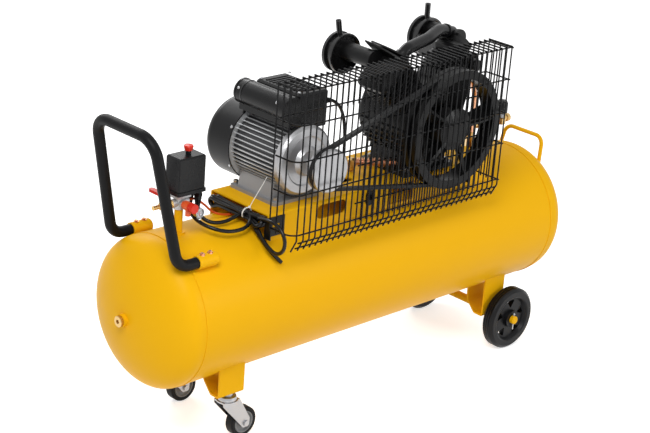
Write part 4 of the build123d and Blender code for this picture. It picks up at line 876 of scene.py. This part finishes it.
@dataclass
class ControlTrim:
    """Glands, dial and glass of the controls, in metres.

    Args:
        workshop: Maker of the finishes.
        bush: Length of the strain relief under a gland.
        gland_in: From the switch base's end to the glands' axis.
        gland_apart: From the middle of the base to a gland's axis.
        dial_radius: Radius of the dial.
        mark_ring: Radius at which the scale marks stand.
        mark: Half length and half width of a mark.
    """

    workshop: Workshop
    bush: float = 0.026
    gland_in: float = 0.014
    gland_apart: float = 0.015
    dial_radius: float = 0.0105
    mark_ring: float = 0.0085
    mark: tuple[float, float] = (0.0011, 0.00022)

    def glands(self) -> None:
        """Add the strain reliefs of the two cords: ribs that taper down each cord."""
        low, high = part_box("switch_base")
        rib = ((0, 0.0068), (0.0008, 0.0088), (0.0024, 0.0088), (0.0032, 0.0068))
        profile = [*ribbed(6, 0.004, rib, taper=0.0005), (self.bush, 0.0054)]
        shell = Surface()
        for y in (-self.gland_apart, self.gland_apart):
            shell.turned(profile, (high.x - self.gland_in, y, low.z + 0.0005), (0, 0, -1), 24)
        self.workshop.fit(shell, "cord_relief", Slot.PLASTIC)

    def dial(self) -> None:
        """Add the gauge's dark dial, its eleven scale marks and its glass."""
        low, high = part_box("gauge_needle")
        case_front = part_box("gauge_case")[0].y
        x, z = (low.x + high.x) / 2, low.z + 0.002
        front = (0, -1, 0)
        face = Surface()
        face.turned([(0, self.dial_radius), (0.0008, self.dial_radius)],
                    (x, high.y + 0.0016, z), front, 40)
        self.workshop.fit(face, "gauge_dial", Slot.PLASTIC)
        marks = Surface()
        a, b = self.mark
        for degrees in range(225, -46, -27):
            turn = math.radians(degrees)
            out = np.array([math.cos(turn), 0.0, math.sin(turn)])
            middle = np.array([x, high.y + 0.0008, z]) + self.mark_ring * out
            marks.prism([(-a, -b), (a, -b), (a, b), (-a, b)], tuple(middle), tuple(out), front,
                        0.0001)
        self.workshop.fit(marks, "gauge_marks", Slot.TIE)
        glass = Surface()
        glass.turned([(0, 0.0109), (0.0008, 0.0109), (0.0012, 0.006)], (x, case_front + 0.0022, z),
                     front, 40)
        self.workshop.fit(glass, "gauge_glass", Slot.ZINC, self.workshop.glass())

    def build(self) -> None:
        """Make every fitting."""
        self.glands()
        self.dial()


@dataclass
class Bundle:
    """Folded strands of the power cord beside the deck and the string that ties them.

    Args:
        workshop: Maker of the finishes.
        sheath: Radius of the cord.
        string: Radius of the string.
        tie_y: Place of the tie along Y.
        bulge: Radius of a fold.
        reach: From a strand's end to the middle of its fold.
        droop: How far a fold hangs below its strands.
        wrap: Half the angle that a fold turns through, in degrees.
        sway: How far a strand wanders sideways.
        strands: Each strand's X and Z from the bundle's corner, and its far and near ends on Y.
    """

    workshop: Workshop
    sheath: float = 0.005
    string: float = 0.0009
    tie_y: float = -0.047
    bulge: float = 0.012
    reach: float = 0.026
    droop: float = 0.004
    wrap: float = 112.0
    sway: float = 0.0009
    strands: tuple[tuple[float, float, float, float], ...] = (
        (0.0, 0.0095, 0.072, -0.052), (0.0, 0.0, 0.072, -0.070), (0.009, 0.0105, 0.078, -0.070),
        (0.009, 0.0, 0.078, -0.074), (0.018, 0.0095, 0.070, -0.074), (0.018, 0.0, 0.070, -0.084))

    def fold(self, start: np.ndarray, end: np.ndarray, out: float) -> list[np.ndarray]:
        """Round one fold: a drop shape that bulges out past both strands and droops a little.

        Args:
            start: Last point of the strand that comes in.
            end: First point of the strand that goes back, beside it.
            out: Way out of the bundle along Y, 1 or -1.

        Returns:
            Control points from strand to strand.
        """
        across = (start - end) / np.linalg.norm(start - end)
        middle = (start + end) / 2 + np.array([0.0, self.reach * out, -self.droop])
        away = np.array([0.0, out, 0.0])
        turn = np.radians(np.linspace(self.wrap, -self.wrap, 9))
        return [middle + self.bulge * (math.cos(a) * away + math.sin(a) * across) for a in turn]

    def cord(self) -> None:
        """Lay the folded cord: straight strands along Y joined by rounded folds.

        Each fold joins two strands that lie above or across from each other, so that
        the folds stand side by side.
        """
        low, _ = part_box("cord_hank")
        x0, z0 = low.x + self.sheath, low.z + self.sheath
        route: list[np.ndarray] = []
        for n, (x, z, far, near) in enumerate(self.strands):
            steps = (near, near + 0.042, 0.012, far - 0.022)
            sway = [self.sway * math.sin(2.1 * n + 1.7 * k) for k in range(len(steps))]
            run = [np.array([x0 + x + w, y, z0 + z + 0.5 * w]) for w, y in zip(sway, steps)]
            run = run if n % 2 == 0 else run[::-1]
            if route:
                beside = np.array([run[0][0], route[-1][1], run[0][2]])
                route += self.fold(route[-1], beside, 1.0 if n % 2 else -1.0)
            route += run
        CordRun("cord_bundle", [tuple(point) for point in route], self.sheath, lay="coiled",
                nodes=("cord_hank",)).build(self.workshop.finish(Slot.CORD))

    def tie(self) -> None:
        """Wind the string round the strands in two ellipses, knot it and stand its tail up."""
        x, z = middle("cord_hank")
        z += 0.001
        turn = np.linspace(0, 2 * math.pi, 40, endpoint=False)
        plane = (0.0, 1.0, 0.0)
        string = Surface()
        for y in (self.tie_y - 0.0010, self.tie_y + 0.0010):
            path = np.stack([x + 0.0155 * np.cos(turn), np.full_like(turn, y),
                             z + 0.0150 * np.sin(turn)], axis=1)
            string.tube(path, self.string, 8, normal=plane, closed=True)
        knot = (x + 0.0085, self.tie_y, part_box("cord_hank")[1].z + 0.003)
        string.turned([(-0.0034, 0.001), (-0.0024, 0.0030), (0, 0.0038), (0.0024, 0.0030),
                       (0.0034, 0.001)], knot, (0.3, 0.2, 1), 14)
        rises = ((0.020, 0.028), (0.040, 0.053), (0.054, 0.072))
        tail = [knot, *((knot[0] + a, self.tie_y - 0.001, knot[2] + b) for a, b in rises)]
        string.tube(np.array(tail), self.string, 8, normal=plane)
        made = self.workshop.fit(string, "string_tie", Slot.TIE)
        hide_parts("cord_tie")

    def build(self) -> None:
        """Make the bundle and its tie."""
        self.cord()
        self.tie()


# --------------------------------------------------------------------- cords
@dataclass
class CordRun:
    """A stretch of cord: one smooth line through the control points of its route.

    Args:
        name: Name of the piece.
        route: Control points.
        radius: Radius of the sheath.
        far_end: What is on its far end; not used.
        lay: How it lies; not used.
        nodes: Packed nodes that it stands for.
    """

    name: str
    route: Route
    radius: float
    far_end: str = "object"
    lay: str = "loose"
    nodes: tuple[str, ...] = ()

    def curve(self, finish: Material) -> Object:
        """Make the curve on its body.

        The bevel is 1 m deep and each point's radius is the sheath's, so that the
        points themselves are no wider than the cord.

        Args:
            finish: Material of the sheath.

        Returns:
            The curve's object.
        """
        data = bpy.data.curves.new(self.name, "CURVE")
        data.dimensions = "3D"
        data.resolution_u = 10
        data.bevel_depth = 1.0
        data.bevel_resolution = 5
        data.use_fill_caps = True
        line = data.splines.new("NURBS")
        line.points.add(len(self.route) - 1)
        flat = np.hstack([np.array(self.route), np.ones((len(self.route), 1))])
        line.points.foreach_set("co", flat.astype(np.float32).ravel())
        line.points.foreach_set("radius", np.full(len(flat), self.radius, np.float32))
        line.order_u = 3
        line.use_endpoint_u = True
        data.materials.append(finish)
        made = bpy.data.objects.new(self.name, data)
        bpy.context.scene.collection.objects.link(made)
        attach(made, FIXED)
        if self.nodes:
            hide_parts(*self.nodes)
        return made

    @staticmethod
    def length(made: Object) -> float:
        """Length of the curve's own line in metres, measured with its bevel off."""
        depth = made.data.bevel_depth
        made.data.bevel_depth = 0.0
        mesh = bpy.data.meshes.new_from_object(made)
        made.data.bevel_depth = depth
        points = np.zeros(len(mesh.vertices) * 3, np.float32)
        mesh.vertices.foreach_get("co", points)
        bpy.data.meshes.remove(mesh)
        return float(np.linalg.norm(np.diff(points.reshape(-1, 3), axis=0), axis=1).sum())

    def build(self, finish: Material) -> None:
        made = self.curve(finish)
        real = self.length(made)
        LOG.info("%s: %.3f m", self.name, real)


@dataclass
class CordSet:
    """Loose stretches of the power cord, from the switch to the bundle and on from it.

    Args:
        workshop: Maker of the finishes.
        sheath: Radius of the power cord.
        gland: Where the power cord leaves its gland.
    """

    workshop: Workshop
    sheath: float = 0.005
    gland: Point = (-0.552, -0.015, 0.646)

    def route(self, steps: Route) -> Route:
        """Points given in millimetres, X and Z from the gland, as points in metres."""
        x, _, z = self.gland
        return [(x + a / 1000, b / 1000, z + c / 1000) for a, b, c in steps]

    def build(self) -> None:
        """Make every stretch."""
        sheath = self.workshop.finish(Slot.CORD)
        run_in = self.route([(0, -15, 0), (0, -15, -27), (12, -20, -54), (38, -29, -70),
                             (72, -36, -73), (104, -38, -66), (132, -36, -60)])
        run_out = self.route([(137, -50, -63), (133, -77, -77), (131, -104, -96),
                              (132, -130, -117), (143, -151, -138), (160, -164, -159)])
        loop = self.route([(138, -94, -58), (133, -120, -50), (126, -147, -44), (124, -175, -44),
                           (124, -200, -58), (124, -212, -83), (124, -204, -110),
                           (125, -178, -125), (126, -148, -116), (129, -121, -103),
                           (134, -96, -84), (138, -72, -67)])
        slack = self.route([(0, 15, 0), (0, 15, -24), (-6, 6, -42), (-7, -20, -54), (0, -50, -62),
                            (18, -76, -69), (50, -88, -77), (92, -90, -78), (122, -80, -71),
                            (138, -62, -58), (141, -44, -53)])
        CordRun("cord_from_switch", run_in, self.sheath, nodes=("power_cord",)).build(sheath)
        CordRun("cord_slack", slack, self.sheath).build(sheath)
        CordRun("cord_free_end", run_out, self.sheath, far_end="bare").build(sheath)
        CordRun("cord_loose_loop", loop, self.sheath).build(sheath)


# --------------------------------------------------------------------- studio
@dataclass
class Studio:
    """Camera, floor and soft lights.

    Args:
        eye: Place of the camera.
        azimuth: Turn of the view from +Y towards +X, in degrees.
        elevation: Rise of the view, in degrees.
        roll: Turn about the view, in degrees.
        focal: Focal length over the sensor's width.
        sensor: Width of the sensor in millimetres.
        reach: Nearest and furthest distance that shows.
        lamps: Name, place, power in watts, width and height of each soft box.
        aim: Point that the soft boxes look at.
    """

    eye: Point = (-3.23858, -3.14386, 2.22184)
    azimuth: float = 45.0986
    elevation: float = -21.2411
    roll: float = 4.3525
    focal: float = 1764.287 / 650.0
    sensor: float = 36.0
    reach: tuple[float, float] = (0.05, 60.0)
    lamps: tuple[tuple[str, Color, float, tuple[float, float]], ...] = (
        ("key", (-2.2, -1.6, 3.2), 78.0, (1.4, 1.4)), ("fill", (1.8, -3.4, 1.6), 36.0, (1.6, 1.2)),
        ("rim", (0.4, 3.0, 2.6), 50.0, (2.6, 0.9)))
    aim: Point = (0.0, 0.0, 0.5)

    def camera(self) -> None:
        """Place the camera: its -Z looks along the view and its +Y is up, rolled."""
        az, el, ro = (math.radians(a) for a in (self.azimuth, self.elevation, self.roll))
        ahead = Vector((math.sin(az) * math.cos(el), math.cos(az) * math.cos(el), math.sin(el)))
        right = Vector((math.cos(az), -math.sin(az), 0.0))
        up = right.cross(ahead)
        right, up = (math.cos(ro) * right + math.sin(ro) * up,
                     math.cos(ro) * up - math.sin(ro) * right)
        data = bpy.data.cameras.new("camera")
        data.sensor_width = self.sensor
        data.lens = self.focal * self.sensor
        data.clip_start, data.clip_end = self.reach
        made = bpy.data.objects.new("camera", data)
        turn = Matrix((right, up, -ahead)).transposed().to_4x4()
        made.matrix_world = Matrix.Translation(self.eye) @ turn
        bpy.context.scene.collection.objects.link(made)
        bpy.context.scene.camera = made

    def lights(self) -> None:
        """Hang a large key on the left, a fill on the belt side and a rim behind."""
        for name, place, power, size in self.lamps:
            data = bpy.data.lights.new(name, "AREA")
            data.shape = "RECTANGLE"
            data.size, data.size_y = size
            data.energy = power
            lamp = bpy.data.objects.new(name, data)
            lamp.location = place
            toward = Vector(self.aim) - Vector(place)
            lamp.rotation_euler = toward.to_track_quat("-Z", "Y").to_euler()
            bpy.context.scene.collection.objects.link(lamp)

    @staticmethod
    def looked_at(tree: Tree) -> Socket:
        """Socket that is 1 for rays that show a surface: seen, in gloss or through glass."""
        rays = tree.nodes.new("ShaderNodeLightPath")
        seen = rays.outputs["Is Camera Ray"]
        for kind in ("Is Glossy Ray", "Is Transmission Ray"):
            either = tree.nodes.new("ShaderNodeMath")
            either.operation = "MAXIMUM"
            tree.links.new(seen, either.inputs[0])
            tree.links.new(rays.outputs[kind], either.inputs[1])
            seen = either.outputs[0]
        return seen

    @staticmethod
    def backdrop(soft: float = 0.45, plain: float = 1.0) -> None:
        """Make the world: soft light on the object and plain white where a ray looks at it.

        Args:
            soft: Its strength as light.
            plain: Its strength where it shows.
        """
        world = bpy.data.worlds.new("studio")
        bpy.context.scene.world = world
        world.use_nodes = True
        tree = world.node_tree
        back = tree.nodes["Background"]
        level = tree.nodes.new("ShaderNodeMapRange")
        level.inputs["To Min"].default_value = soft
        level.inputs["To Max"].default_value = plain
        tree.links.new(Studio.looked_at(tree), level.inputs["Value"])
        tree.links.new(level.outputs["Result"], back.inputs["Strength"])
        back.inputs["Color"].default_value = (1.0, 1.0, 1.0, 1.0)

    @staticmethod
    def floor(size: float = 30.0, pale: float = 0.9, roughness: float = 0.7,
              lift: float = 0.62) -> None:
        """Lay a pale floor that shows white and keeps the object's shadow.

        Args:
            size: Side of the square floor.
            pale: How pale its paint is.
            roughness: Roughness of the paint.
            lift: Light of its own that it adds where a ray looks at it.
        """
        mesh = bpy.data.meshes.new("floor")
        h = size / 2
        corners = [(-h, -h, 0.0), (h, -h, 0.0), (h, h, 0.0), (-h, h, 0.0)]
        mesh.from_pydata(corners, [], [(0, 1, 2, 3)])
        made = bpy.data.objects.new("floor", mesh)
        bpy.context.scene.collection.objects.link(made)
        paint, tree, bsdf = principled("pale_floor")
        bsdf.inputs["Base Color"].default_value = (pale, pale, pale, 1.0)
        bsdf.inputs["Roughness"].default_value = roughness
        bsdf.inputs["Emission Color"].default_value = (1.0, 1.0, 1.0, 1.0)
        glow = tree.nodes.new("ShaderNodeMath")
        glow.operation = "MULTIPLY"
        glow.inputs[1].default_value = lift
        tree.links.new(Studio.looked_at(tree), glow.inputs[0])
        tree.links.new(glow.outputs[0], bsdf.inputs["Emission Strength"])
        mesh.materials.append(paint)

    def build(self) -> None:
        """Set up the whole studio."""
        self.camera()
        self.lights()
        self.backdrop()
        self.floor()
        bpy.context.scene.view_settings.view_transform = "Standard"


def write_sizes() -> None:
    """Bring the scene's matrices up to date."""
    bpy.context.view_layer.update()


def main() -> None:
    """Build the studio and every dressed piece in order."""
    logging.basicConfig(level=logging.INFO, format="%(message)s")
    Studio().build()
    workshop = Workshop()
    workshop.dress()
    CordSet(workshop).build()
    Bundle(workshop).build()
    PumpTrim(workshop).build()
    MotorTrim(workshop).build()
    ControlTrim(workshop).build()
    write_sizes()


if __name__ == "__main__":
    main()
